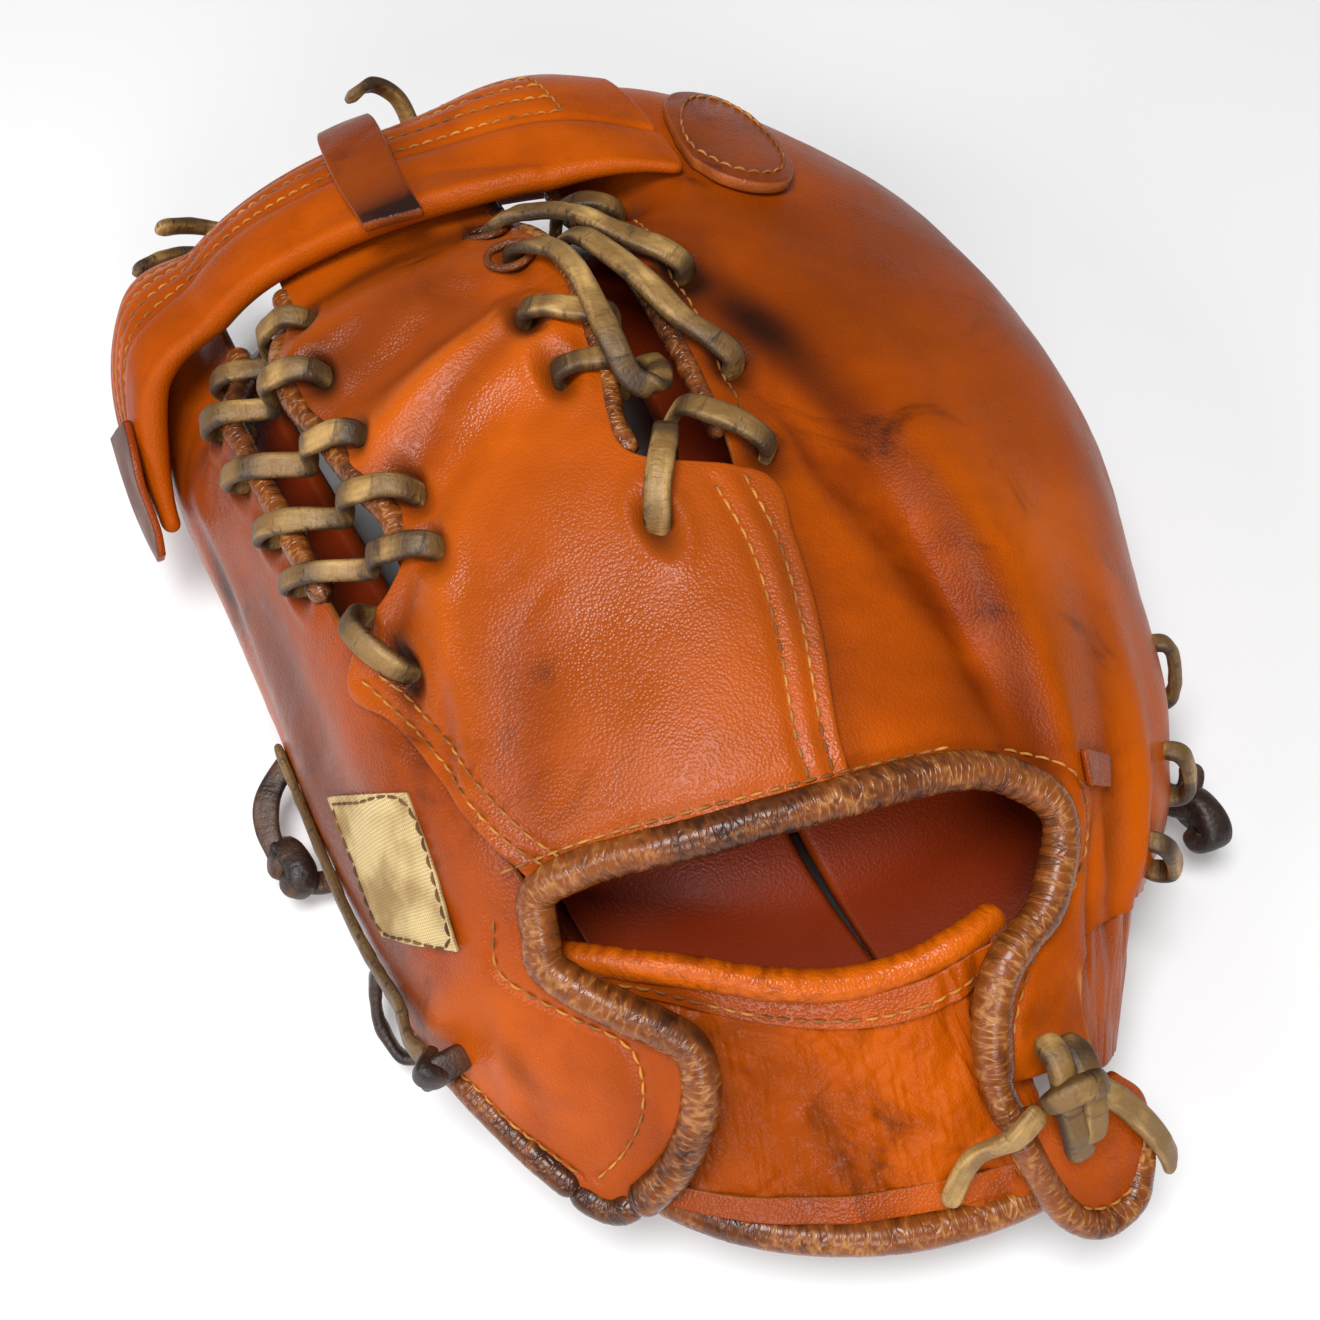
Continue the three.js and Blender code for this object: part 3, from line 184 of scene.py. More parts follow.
def foldHeight(u, v, table=folds):  # sum of long round ridges, exp(-along^2 - aside^2) each
    height = 0
    for foldU, foldV, long, wide, turn, high in table:
        x = (u - foldU) * mitt["acrossScale"]
        y = (v - foldV) * mitt["alongScale"]
        c, s = np.cos(np.radians(turn)), np.sin(np.radians(turn))
        height = height + high * np.exp(-(((x * c + y * s) / long) ** 2) - ((y * c - x * s) / wide) ** 2)
    return height


def onSkin(u, v, height):  # place on the skin + its normal * height
    return skin(u, v) + normalOf(skin, u, v) * np.asarray(height, float)[..., None]


def onLobe(u, v, height):  # the same on the folded leather, less the groove that holds the tip strap
    u, v = grids(u, v)
    sides = (1 - smooth(*grooveEnds["left"], -u)) * (1 - smooth(*grooveEnds["right"], u))
    groove = smooth(*grooveEnds["near"], v) * (1 - smooth(*grooveEnds["far"], v)) * sides
    return onSkin(u, v, height + foldHeight(u, v) - mitt["tipSink"] * groove)


def cloud(x, y, seed, size, cells=97):  # smooth random field from -1 to 1: random values on a lattice, eased between
    lattice = np.random.default_rng(seed).uniform(-1, 1, (cells, cells))
    gx, gy = np.asarray(x, float) / size, np.asarray(y, float) / size
    i, j = np.floor(gx).astype(int), np.floor(gy).astype(int)
    fx, fy = gx - i, gy - j
    fx, fy = fx * fx * (3 - 2 * fx), fy * fy * (3 - 2 * fy)
    i, j, nextI, nextJ = i % cells, j % cells, (i + 1) % cells, (j + 1) % cells
    near = lattice[i, j] * (1 - fx) + lattice[nextI, j] * fx
    far = lattice[i, nextJ] * (1 - fx) + lattice[nextI, nextJ] * fx
    return near * (1 - fy) + far * fy


def lengthOf(path):
    return float(np.linalg.norm(np.diff(path, axis=0), axis=1).sum())


def stepsOf(path):  # length from the start of a path to each of its points
    return np.concatenate([[0], np.cumsum(np.linalg.norm(np.diff(path, axis=0), axis=1))])


def curveThrough(points, count, fineSteps=40):
    # centripetal Catmull-Rom through the points, then count places at equal steps of length
    p = np.asarray(points, float)
    p = np.vstack([2 * p[0] - p[1], p, 2 * p[-1] - p[-2]])
    a, b, c, d = p[:-3], p[1:-2], p[2:-1], p[3:]

    def root(first, second):
        return np.maximum(np.linalg.norm(second - first, axis=1, keepdims=True), 1e-9) ** .5

    ab, bc, cd = root(a, b), root(b, c), root(c, d)
    start = ((b - a) / ab - (c - a) / (ab + bc) + (c - b) / bc) * bc
    end = ((c - b) / bc - (d - b) / (bc + cd) + (d - c) / cd) * bc
    t = np.linspace(0, 1, fineSteps, endpoint=False)[None, :, None]
    b, c, start, end = b[:, None], c[:, None], start[:, None], end[:, None]
    run = (2 * t**3 - 3 * t**2 + 1) * b + (t**3 - 2 * t**2 + t) * start
    run = run + (3 * t**2 - 2 * t**3) * c + (t**3 - t**2) * end
    run = np.vstack([run.reshape(-1, p.shape[1]), p[-2]])
    along = stepsOf(run)
    places = np.linspace(0, along[-1], count)
    return np.stack([np.interp(places, along, run[:, k]) for k in range(p.shape[1])], 1)


def overSkin(points, count, place=onLobe):  # a smooth route through points u, v, height
    scale = np.array([mitt["acrossScale"], mitt["alongScale"], 1])
    run = curveThrough(np.asarray(points, float) * scale, count) / scale
    return place(run[:, 0], run[:, 1], run[:, 2]), run


# Materials: maths on a socket adds its own nodes

def tone(red, green, blue):  # a colour as a picture shows it, 0 to 255, as linear light
    c = np.array([red, green, blue]) / 255
    return (*np.where(c < .04045, c / 12.92, ((c + .055) / 1.055) ** 2.4), 1)


class Wire:  # one socket of a material's tree
    def __init__(self, tree, socket=None):
        self.tree, self.socket = tree, socket

    def node(self, kind, settings=None, sockets=None, output=0):
        # any node: its type, its settings, and values or links for its sockets
        made = self.tree.nodes.new(kind)
        for name, value in (settings or {}).items():
            setattr(made, name, value)
        for name, value in (sockets or {}).items():
            if isinstance(value, Wire):
                self.tree.links.new(value.socket, made.inputs[name])
            else:
                made.inputs[name].default_value = value
        return Wire(self.tree, made.outputs[output])

    def maths(self, operation, *values):
        return self.node("ShaderNodeMath", {"operation": operation}, dict(enumerate(values)))

    def __add__(self, other):
        return self.maths("ADD", self, other)

    def __sub__(self, other):
        return self.maths("SUBTRACT", self, other)

    def __rsub__(self, other):
        return self.maths("SUBTRACT", other, self)

    def __mul__(self, other):
        return self.maths("MULTIPLY", self, other)

    __radd__, __rmul__ = __add__, __mul__

    def step(self, low, high, start=0, end=1):  # eased from start at low to end at high
        return self.node("ShaderNodeMapRange", {"interpolation_type": "SMOOTHSTEP"},
                         {"Value": self, "From Min": low, "From Max": high, "To Min": start, "To Max": end})

    def mix(self, first, second):  # colours: first where this is 0, second where it is 1
        return self.node("ShaderNodeMix", {"data_type": "RGBA"}, {0: self, 6: first, 7: second}, 2)


def newMaterial(name):
    material = bpy.data.materials.new(name)
    material.use_nodes = True
    tree = material.node_tree
    return material, Wire(tree), tree.nodes["Principled BSDF"]


def connect(value, shader, socket):  # what changes over the surface is linked, a plain number is set on the socket
    if isinstance(value, Wire):
        value.tree.links.new(value.socket, shader.inputs[socket])
    else:
        shader.inputs[socket].default_value = value


def connectBump(height, shader, depth, strength):
    bump = height.node("ShaderNodeBump", {}, {"Height": height, "Distance": depth, "Strength": strength})
    connect(bump, shader, "Normal")


def painted(tree, name):  # a value that the mesh carries at its points
    return tree.node("ShaderNodeAttribute", {"attribute_name": name}, output="Fac")


def onObject(tree):  # Object coordinates
    return tree.node("ShaderNodeTexCoord", output="Object")


def alongPiece(tree):  # the piece's own UV map: along it and round or across it
    return tree.node("ShaderNodeTexCoord", output="UV")


def noise(tree, where, scale, detail=3, distort=0, rough=.5):
    return tree.node("ShaderNodeTexNoise", {}, {"Vector": where, "Scale": scale, "Detail": detail,
                                                "Distortion": distort, "Roughness": rough})


def pits(tree, where, scale, feature="F1"):
    return tree.node("ShaderNodeTexVoronoi", {"feature": feature}, {"Vector": where, "Scale": scale})


def stretched(tree, where, factors):  # a Mapping node's scale
    return tree.node("ShaderNodeMapping", {}, {"Vector": where, "Scale": factors})


leatherLook = {
    "bright": tone(206, 96, 4), "warm": tone(154, 60, 2), "deep": tone(94, 30, 6), "stain": tone(38, 16, 8),
    "raw": tone(196, 132, 70), "inside": tone(140, 46, 14), "scratch": tone(220, 150, 60),
    "roughness": .3, "specular": .24, "grainDepth": .00015, "grainStrength": .5,
    "broadScale": 11, "mediumScale": 42, "fineScale": 210, "dirtScale": 26, "scratchScale": 520,
    "scratchStretch": (1, .12, 1), "grainScale": 1500, "poreScale": 1200,
}
dullLook = dict(leatherLook, specular=.08)
paddingLook = dict(leatherLook, bright=tone(164, 74, 8), warm=tone(140, 56, 6), deep=tone(92, 34, 8), roughness=.4)
bindingLook = {
    "dark": tone(56, 26, 10), "brown": tone(128, 66, 20), "rubbedAndLit": tone(200, 142, 76),
    "roughness": .26, "specular": .45, "depth": .0004, "strength": .6,
    "broadScale": 26, "mediumScale": 60, "fineScale": 520,
    "wrinkleStretch": (620, 2.2, 1), "crackleStretch": (640, 4, 1),
}


def leatherMaterial(name, look):  # deep to bright in patches, paler with wear and with painted light, then dirt, stains and painted shade, scratches, raw edges and the bare inside
    material, tree, shader = newMaterial(name)
    where = onObject(tree)
    stain, edge, inside, wear = (painted(tree, key) for key in ("stain", "edge", "inside", "wear"))
    broad = noise(tree, where, look["broadScale"], 4, .4)
    medium = noise(tree, where, look["mediumScale"], 5, .3, .6)
    fine = noise(tree, where, look["fineScale"])
    colour = (broad * .7 + medium * .3).step(.34, .6).mix(look["deep"], look["warm"])
    colour = (broad.step(.46, .7) * medium.step(.35, .6) * .6).mix(colour, look["bright"])
    # paler where worn, and where light is painted on a whole panel
    colour = (wear * .8).mix(colour, look["bright"])
    dirt = noise(tree, where, look["dirtScale"], 6, 1.2, .65)
    # darker with dirt, real stains and painted shade
    colour = ((dirt.step(.52, .76) * .5) + stain * (medium * .6 + .55)).step(0, 1).mix(colour, look["stain"])
    scratches = noise(tree, stretched(tree, where, look["scratchStretch"]), look["scratchScale"], 2, 1.5)
    colour = (scratches.step(.76, .8) * broad.step(.5, .62) * .6).mix(colour, look["scratch"])
    colour = (edge * (fine.step(.3, .7) * .5 + .4)).mix(colour, look["raw"])
    colour = inside.mix(colour, look["inside"])
    connect(colour, shader, "Base Color")
    connect(medium.step(.3, .7, look["roughness"] - .07, look["roughness"] + .1) + edge * .3 + stain * .08,
            shader, "Roughness")
    connect(look["specular"], shader, "Specular IOR Level")
    grain = pits(tree, where, look["grainScale"]).step(0, .8) + noise(tree, where, look["poreScale"]) * .4
    connectBump(grain, shader, look["grainDepth"], look["grainStrength"])
    return material


def bindingMaterial(name, look):  # brown in patches, dark in its wrinkles, pale in patches between fine cracks, partly rubbed wear and partly painted highlight
    material, tree, shader = newMaterial(name)
    where, run = onObject(tree), alongPiece(tree)
    wear, inside = painted(tree, "wear"), painted(tree, "inside")
    broad = noise(tree, where, look["broadScale"])
    medium = noise(tree, where, look["mediumScale"], 5, .4, .6)
    fine = noise(tree, where, look["fineScale"], 4, .6, .65)
    wrinkles = noise(tree, stretched(tree, run, look["wrinkleStretch"]), 1, 4, .8, .6)
    crackle = pits(tree, stretched(tree, run, look["crackleStretch"]), 1, "DISTANCE_TO_EDGE")
    colour = (broad * .8 + medium * .2 + wear * .2).step(.48, .74).mix(look["dark"], look["brown"])
    colour = (wrinkles.step(.46, .3) * .4).mix(colour, look["dark"])
    # pale patches: partly rubbed wear, partly painted highlight
    rubbedAndLit = (wear * .4 + broad * .5 + medium * .4 + fine * .3).step(.9, 1.16) * crackle.step(.2, .03)
    colour = (rubbedAndLit * .7).mix(colour, look["rubbedAndLit"])
    colour = inside.mix(colour, look["dark"])
    connect(colour, shader, "Base Color")
    connect(rubbedAndLit.step(0, 1, look["roughness"], look["roughness"] + .2), shader, "Roughness")
    connect(look["specular"], shader, "Specular IOR Level")
    height = fine * .35 + wrinkles * .8 + crackle.step(0, .12) * .5
    connectBump(height, shader, look["depth"], look["strength"])
    return material


laceLook = {
    "pale": tone(196, 156, 92), "olive": tone(128, 94, 46), "dark": tone(58, 38, 18),
    "roughness": .5, "depth": .0006, "strength": .8,
    "broadScale": 55, "poreScale": 900, "streakStretch": (60, 5, 1), "crackStretch": (520, 2.5, 1),
}
darkLaceLook = dict(laceLook, pale=tone(92, 58, 38), olive=tone(56, 33, 22), dark=tone(28, 16, 11), roughness=.45)


def laceMaterial(name, look):  # rawhide: streaks along, cracks across, dark where it is pinched, in blotches and with painted shade on its sides
    material, tree, shader = newMaterial(name)
    where, run = onObject(tree), alongPiece(tree)
    dark = painted(tree, "stain")
    streaks = noise(tree, stretched(tree, run, look["streakStretch"]), 1, 5, .3, .6)
    cracks = noise(tree, stretched(tree, run, look["crackStretch"]), 1, 4, 1, .6)
    broad = noise(tree, where, look["broadScale"], 4)
    colour = (streaks * .5 + broad * .5 - dark * .1).step(.42, .62).mix(look["olive"], look["pale"])
    colour = (cracks.step(.56, .66) * .3 + dark).step(.05, 1).mix(colour, look["dark"])
    connect(colour, shader, "Base Color")
    connect(look["roughness"], shader, "Roughness")
    height = cracks * .8 + streaks * .5 + noise(tree, where, look["poreScale"]) * .5
    connectBump(height, shader, look["depth"], look["strength"])
    return material


threadLook = {
    "light": tone(196, 130, 52), "dark": tone(120, 68, 24), "roughness": .8, "patchScale": 90,
    "twistScale": 900, "depth": .0001, "strength": .5,
}
darkThreadLook = dict(threadLook, light=tone(120, 78, 36), dark=tone(64, 38, 20))


def waves(tree, where, direction, scale, distort=0):
    return tree.node("ShaderNodeTexWave", {"bands_direction": direction},
                     {"Vector": where, "Scale": scale, "Distortion": distort})


def threadMaterial(name, look):  # light and dark patches with a slanting twist
    material, tree, shader = newMaterial(name)
    where = onObject(tree)
    colour = noise(tree, where, look["patchScale"], 4).step(.35, .65).mix(look["dark"], look["light"])
    connect(colour, shader, "Base Color")
    connect(look["roughness"], shader, "Roughness")
    connectBump(waves(tree, where, "DIAGONAL", look["twistScale"]), shader, look["depth"], look["strength"])
    return material


clothLook = {
    "light": tone(214, 188, 134), "dark": tone(158, 126, 76), "between": tone(110, 80, 44), "edge": tone(120, 84, 44),
    "roughness": .92, "patchScale": 70, "threadScale": 420, "uneven": .6, "depth": .0003, "strength": .7,
}


def clothMaterial(name, look):  # a plain weave: the higher of the waves of warp and weft
    material, tree, shader = newMaterial(name)
    run = alongPiece(tree)
    warp, weft = (waves(tree, run, direction, look["threadScale"], look["uneven"]) for direction in "XY")
    weave = warp.maths("MAXIMUM", warp, weft)
    colour = noise(tree, onObject(tree), look["patchScale"], 5).step(.3, .6).mix(look["dark"], look["light"])
    colour = (1 - weave).step(.3, .9, 0, .45).mix(colour, look["between"])
    colour = painted(tree, "edge").mix(colour, look["edge"])
    connect(colour, shader, "Base Color")
    connect(look["roughness"], shader, "Roughness")
    connectBump(weave, shader, look["depth"], look["strength"])
    return material


finish = {
    "leather": leatherMaterial("leather", leatherLook),
    "dullLeather": leatherMaterial("dullLeather", dullLook),
    "padding": leatherMaterial("padding", paddingLook),
    "binding": bindingMaterial("binding", bindingLook),
    "lace": laceMaterial("lace", laceLook),
    "dark_lace": laceMaterial("darkLace", darkLaceLook),
    "cloth": clothMaterial("cloth", clothLook),
    "thread": threadMaterial("thread", threadLook),
    "darkThread": threadMaterial("darkThread", darkThreadLook),
}
print("materials made")


# Meshes from arrays

def gridFaces(rows, columns, start=0, wrap=False):  # a face between each four neighbours of a grid
    across = columns if wrap else columns - 1
    i, j = np.meshgrid(np.arange(rows - 1), np.arange(across), indexing="ij")
    k = (j + 1) % columns
    corners = [i * columns + j, i * columns + k, (i + 1) * columns + k, (i + 1) * columns + j]
    return (start + np.stack(corners, -1)).reshape(-1, 4)


def volumeOf(points, quads):  # sum of the signed volumes of the faces' pyramids to the origin
    a, b, c, d = (points[quads[:, k]] for k in range(4))
    return (np.einsum("ij,ij->i", a, np.cross(b, c)) + np.einsum("ij,ij->i", a, np.cross(c, d))).sum()


def addPiece(name, shells, material, nodes=()):
    # shells is a list of dictionaries: points, quads, caps (whole faces), values painted on the points, uv
    points, faces, painting, uvs, start = [], [], {}, [], 0
    names = sorted({key for shell in shells for key in shell.get("values", {})})
    for shell in shells:
        flip = volumeOf(shell["points"], shell["quads"]) < 0
        quads = shell["quads"][:, ::-1] if flip else shell["quads"]
        faces.extend((quads + start).tolist())
        for cap in shell.get("caps", []):
            faces.append([int(k) + start for k in (cap[::-1] if flip else cap)])
        points.append(shell["points"])
        for key in names:
            value = shell.get("values", {}).get(key, 0)
            painting.setdefault(key, []).append(np.broadcast_to(value, len(shell["points"])).astype(np.float32))
        uvs.append(shell.get("uv", np.zeros((len(shell["points"]), 2))))
        start += len(shell["points"])
    mesh = bpy.data.meshes.new(name)
    mesh.from_pydata(np.vstack(points), [], faces)
    mesh.polygons.foreach_set("use_smooth", np.ones(len(mesh.polygons), bool))
    for key, parts in painting.items():
        mesh.attributes.new(key, "FLOAT", "POINT").data.foreach_set("value", np.concatenate(parts))
    corner = np.zeros(len(mesh.loops), np.int32)
    mesh.loops.foreach_get("vertex_index", corner)
    mesh.uv_layers.new(name="UVMap").data.foreach_set("uv", np.vstack(uvs)[corner].astype(np.float32).ravel())
    mesh.materials.append(finish[material])
    piece = bpy.data.objects.new(name, mesh)
    bpy.context.scene.collection.objects.link(piece)
    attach(piece, "root")
    if nodes:
        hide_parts(*nodes)
    return piece


def slabShell(top, bottom, rings=4, bulge=.5, values=None, uv=None):
    # two sheets joined round their edge by hoops of an ellipse: out * cos + half * sin
    rows, columns = top.shape[:2]
    lastRow, lastColumn = rows - 1, columns - 1
    down, across = np.arange(lastRow), np.arange(lastColumn)  # i, j go once round the grid's edge
    i = np.concatenate([across * 0, down, across * 0 + lastRow, lastRow - down])
    j = np.concatenate([across, down * 0 + lastColumn, lastColumn - across, down * 0])
    middle, half = (top + bottom) / 2, (top - bottom) / 2
    inner = middle[np.clip(i, 1, lastRow - 1), np.clip(j, 1, lastColumn - 1)]
    lift = unit(half[i, j])
    out = middle[i, j] - inner
    out = unit(out - (out * lift).sum(-1, keepdims=True) * lift)
    reach = bulge if np.ndim(bulge) else np.linalg.norm(half[i, j], axis=-1) * bulge
    if np.ndim(reach) == 2:
        reach = reach[i, j]
    angle = np.pi / 2 - np.pi * np.arange(1, rings + 1) / (rings + 1)
    outShare, upShare = np.cos(angle)[:, None, None], np.sin(angle)[:, None, None]
    hoops = middle[i, j] + out * reach[:, None] * outShare + half[i, j] * upShare
    count, around = rows * columns, len(i)
    index = i * columns + j
    loops = [index] + [2 * count + k * around + np.arange(around) for k in range(rings)] + [count + index]
    quads = [gridFaces(rows, columns), gridFaces(rows, columns, count)[:, ::-1]]
    for upper, lower in zip(loops[:-1], loops[1:]):
        quads.append(np.stack([np.roll(upper, -1), upper, lower, np.roll(lower, -1)], -1))
    painting = {}
    for key, (onTop, onBottom, onEdge) in (values or {}).items():
        onTop, onBottom = np.broadcast_to(onTop, (rows, columns)), np.broadcast_to(onBottom, (rows, columns))
        painting[key] = np.concatenate([onTop.ravel(), onBottom.ravel(), np.full(rings * around, onEdge, float)])
    shell = {"points": np.vstack([top.reshape(-1, 3), bottom.reshape(-1, 3), hoops.reshape(-1, 3)]),
             "quads": np.vstack(quads), "values": painting}
    if uv is not None:
        shell["uv"] = np.vstack([uv.reshape(-1, 2)] * 2 + [uv[i, j]] * rings)
    return shell


def bandShell(path, side, section, values=None):
    # a profile carried along a path: each place is path + sideways * x + upward * y
    tangent = unit(np.gradient(path, axis=0))
    side = np.broadcast_to(side, path.shape)
    side = unit(side - (side * tangent).sum(-1, keepdims=True) * tangent)
    up = np.cross(side, tangent)
    section = np.broadcast_to(section, (len(path), *section.shape[-2:]))
    points = path[:, None] + side[:, None] * section[..., :1] + up[:, None] * section[..., 1:]
    rows, columns = points.shape[:2]
    uv = np.stack(np.broadcast_arrays(stepsOf(path)[:, None], np.arange(columns) / columns), -1)
    painting = {key: np.broadcast_to(value, (rows, columns)).ravel() for key, value in (values or {}).items()}
    return {"points": points.reshape(-1, 3), "quads": gridFaces(rows, columns, wrap=True), "uv": uv.reshape(-1, 2),
            "caps": [np.arange(columns)[::-1], (rows - 1) * columns + np.arange(columns)], "values": painting}


def closing(count, length, radius):  # 1 along a path, with round ends of that radius
    near = np.minimum(np.linspace(0, length, count), np.linspace(length, 0, count)) / radius
    return np.sqrt(np.maximum(1 - (1 - np.clip(near, 0, 1)) ** 2, .01))


rollSides = 22


def rollSection(count, length, radius, seed, wrinkle, sides=rollSides, pitch=.0013):
    # a round rod whose radius is wrinkled across its run
    angle = np.arange(sides) * 2 * np.pi / sides
    along = np.linspace(0, length, count)[:, None]
    turn = np.cos(angle)[None] * .004
    ridges = 1 - 2 * np.abs(cloud(along + turn * .4, turn + .3, seed, pitch))
    size = radius * (1 + wrinkle * ridges * .6 + .07 * cloud(along, turn + .9, seed + 1, .009))
    size = size * closing(count, length, radius)[:, None]
    return np.stack([np.cos(angle) * size, np.sin(angle) * size], -1), ridges


def laceSection(count, length, width, thick, seed, sides=18):
    # a flat strip with soft corners: x = w cos^.6, y = h sin^.7, uneven along its run
    angle = np.arange(sides) * 2 * np.pi / sides
    along = np.linspace(0, length, count)[:, None]
    x = np.sign(np.cos(angle)) * np.abs(np.cos(angle)) ** .6 * width / 2
    y = np.sign(np.sin(angle)) * np.abs(np.sin(angle)) ** .7 * thick / 2
    uneven = 1 + .14 * cloud(along, np.full_like(along, .7), seed, .009)
    cup = 1 + .16 * cloud(along, np.cos(angle)[None] * .004 + .2, seed + 3, .003)
    ends = .35 + .65 * closing(count, length, thick)[:, None]
    return np.stack([x[None] * uneven * ends, y[None] * cup * ends], -1)


# Camera

camera = {"azimuth": -18, "elevation": 60, "distance": .423, "fov": 40, "target": (-.0049, -.0068, .037)}


def placeCamera():
    a, e = np.radians(camera["azimuth"]), np.radians(camera["elevation"])
    back = Vector((np.sin(a) * np.cos(e), -np.cos(a) * np.cos(e), np.sin(e)))
    data = bpy.data.cameras.new("camera")
    data.angle = np.radians(camera["fov"])
    data.clip_start = .01
    eye = bpy.data.objects.new("camera", data)
    eye.location = Vector(camera["target"]) + back * camera["distance"]
    eye.rotation_euler = (-back).to_track_quat("-Z", "Y").to_euler()
    bpy.context.scene.collection.objects.link(eye)
    bpy.context.scene.camera = eye


placeCamera()


# Cords: the loose ends of the lacing. Routes are u, v, height above the skin.

tails = {
    "leftTail": {
        "node": "left_tail", "dark": .62, "width": .005, "thick": .0024, "place": onLobe, "seed": 5,
        "route": [(-.74, 1, .0075), (-.79, 1.16, .0075), (-.83, 1.4, .0044), (-.87, 1.65, .0038), (-.905, 1.95, .0038),
                  (-.94, 2.3, .0038), (-.965, 2.65, .0038), (-.98, 3, .0038), (-.985, 3.3, .0038)],
    },
    "wristTailLeft": {
        "node": "wrist_tail_left", "width": .005, "thick": .0026, "place": onSkin, "seed": 6,
        "route": [(.085, .5, .013), (.045, .47, .0136), (0, .42, .0122), (-.05, .31, .0045), (-.09, .16, .001),
                  (-.105, .1, .001)],
    },
    "wristTailRight": {
        "node": "wrist_tail_right", "width": .0056, "thick": .0026, "place": onSkin, "seed": 7,
        "route": [(.235, .48, .012), (.29, .4, .0124), (.36, .26, .0128), (.43, .1, .013), (.49, -.04, .0126),
                  (.515, -.1, .012)],
    },
}


def addTail(name, tail):
    path, run = overSkin(tail["route"], 120, tail["place"])
    length = lengthOf(path)
    up = normalOf(skin, run[:, 0], run[:, 1])
    section = laceSection(len(path), length, tail["width"], tail["thick"], tail["seed"])
    shell = bandShell(path, np.cross(unit(np.gradient(path, axis=0)), up), section, {"stain": tail.get("dark", 0)})
    piece = addPiece(name, [shell], "lace", [tail["node"]])
    print(name, "length", round(length, 4))


for name, tail in tails.items():
    addTail(name, tail)
print("camera and cords placed")


# Back panels. Rows join a point u, v of the gap, seam and opening side to a point of the rim side;
# the middle panel's second side faces the thumb. tuck and tuck2 hide each edge under its roll.

roll, gapRoll, thinRoll, hemRoll = .0022, .0016, .0012, .0018  # how far short of a roll's middle the leather ends

backFinger = {
    "rows": [
        (-.64, 6.93, -.97, 6.93, 0, 0), (-.64, 6.4, -1, 6.4, 0, 0), (-.63, 5.6, -1, 5.7, gapRoll, 0),
        (-.612, 4.84, -1, 5, gapRoll, 0), (-.604, 4.2, -1, 4.3, gapRoll, 0), (-.572, 3.45, -1, 3.5, gapRoll, 0),
        (-.53, 2.95, -1, 3, 0, 0), (-.45, 2.4, -1, 2.4, 0, 0), (-.41, 1.94, -1, 1.9, roll, 0),
        (-.45, 1.6, -1, 1.45, roll, 0), (-.38, 1.24, -.985, 1.12, roll, hemRoll), (-.318, 1, -.89, .96, roll, hemRoll),
        (-.345, .72, -.8, .7, roll, hemRoll), (-.42, .44, -.71, .38, roll, hemRoll),
        (-.52, .2, -.62, .17, roll, hemRoll),
    ],
    "lines": 300, "columns": 90, "height": 0,
}
backMiddle = {
    "rows": [
        (-.47, 6.93, -.05, 6.93, 0, 0), (-.45, 6.3, -.04, 6.3, 0, 0), (-.44, 5.6, -.035, 5.6, gapRoll, thinRoll),
        (-.448, 4.9, -.025, 4.85, gapRoll, thinRoll), (-.462, 4.3, -.002, 4.35, gapRoll, thinRoll),
        (-.41, 3.75, -.022, 3.75, gapRoll, thinRoll), (-.405, 3.38, -.03, 3.4, gapRoll, thinRoll),
        (-.575, 3.04, .1, 3.18, 0, 0), (-.53, 2.8, .106, 2.9, 0, 0), (-.488, 2.56, .095, 2.56, 0, 0),
        (-.43, 2.2, .068, 2.2, 0, 0), (-.395, 2.01, .06, 1.98, 0, 0),
    ],
    "lines": 260, "columns": 110, "height": mitt["overlap"],
}
backThumb = {
    "rows": [
        (.1, 6.93, .97, 6.93, 0, 0), (.08, 6.4, 1, 6.4, 0, 0), (.075, 5.7, 1, 5.8, thinRoll, 0),
        (.068, 4.8, 1, 5, thinRoll, 0), (.072, 4.1, 1, 4.2, thinRoll, 0), (.078, 3.4, 1, 3.5, thinRoll, 0),
        (.06, 2.9, 1, 2.95, 0, 0), (.05, 2.4, 1, 2.4, 0, 0), (.06, 1.98, 1, 2, roll, 0), (.24, 1.95, 1, 1.72, roll, 0),
        (.345, 1.75, 1, 1.45, roll, 0), (.35, 1.48, .92, 1.22, roll, 0), (.29, 1.18, .66, 1.08, roll, 0),
        (.175, 1, .42, .93, roll, 0), (.1, .79, .36, .74, roll, 0), (.04, .52, .37, .48, roll, 0),
    ],
    "lines": 300, "columns": 130, "height": 0,
}

seams = {  # lines of u, v on the back leather
    "openingTop": [(-.44, 2.08), (-.3, 2.1), (-.15, 2.09), (.04, 2.07), (.2, 2.06), (.3, 2.0)],
    "openingRight": [(.3, 2.02), (.385, 1.9), (.43, 1.7), (.42, 1.45), (.36, 1.2), (.27, 1.03), (.19, .84),
                     (.13, .68)],
    "flap": [(-.5, 1.9), (-.54, 1.6), (-.47, 1.28), (-.4, 1.02), (-.425, .74), (-.49, .5), (-.57, .3)],
    "hem": [(-.6, .3), (-.68, .48), (-.745, .72), (-.82, .96)],
    "fingerSeamOuter": [(-.55, 3.02), (-.512, 2.8), (-.468, 2.56), (-.41, 2.2), (-.372, 2.06)],
    "fingerSeamInner": [(-.517, 3.0), (-.478, 2.78), (-.434, 2.54), (-.378, 2.2), (-.34, 2.06)],
    "thumbSeamOuter": [(.08, 3.2), (.088, 2.9), (.076, 2.56), (.05, 2.2), (.045, 2.08)],
    "thumbSeamInner": [(.045, 3.18), (.055, 2.9), (.045, 2.56), (.018, 2.2), (.014, 2.08)],
    "thumbGap": [(.117, 4.7), (.114, 4.3), (.117, 3.9), (.115, 3.5)],
}

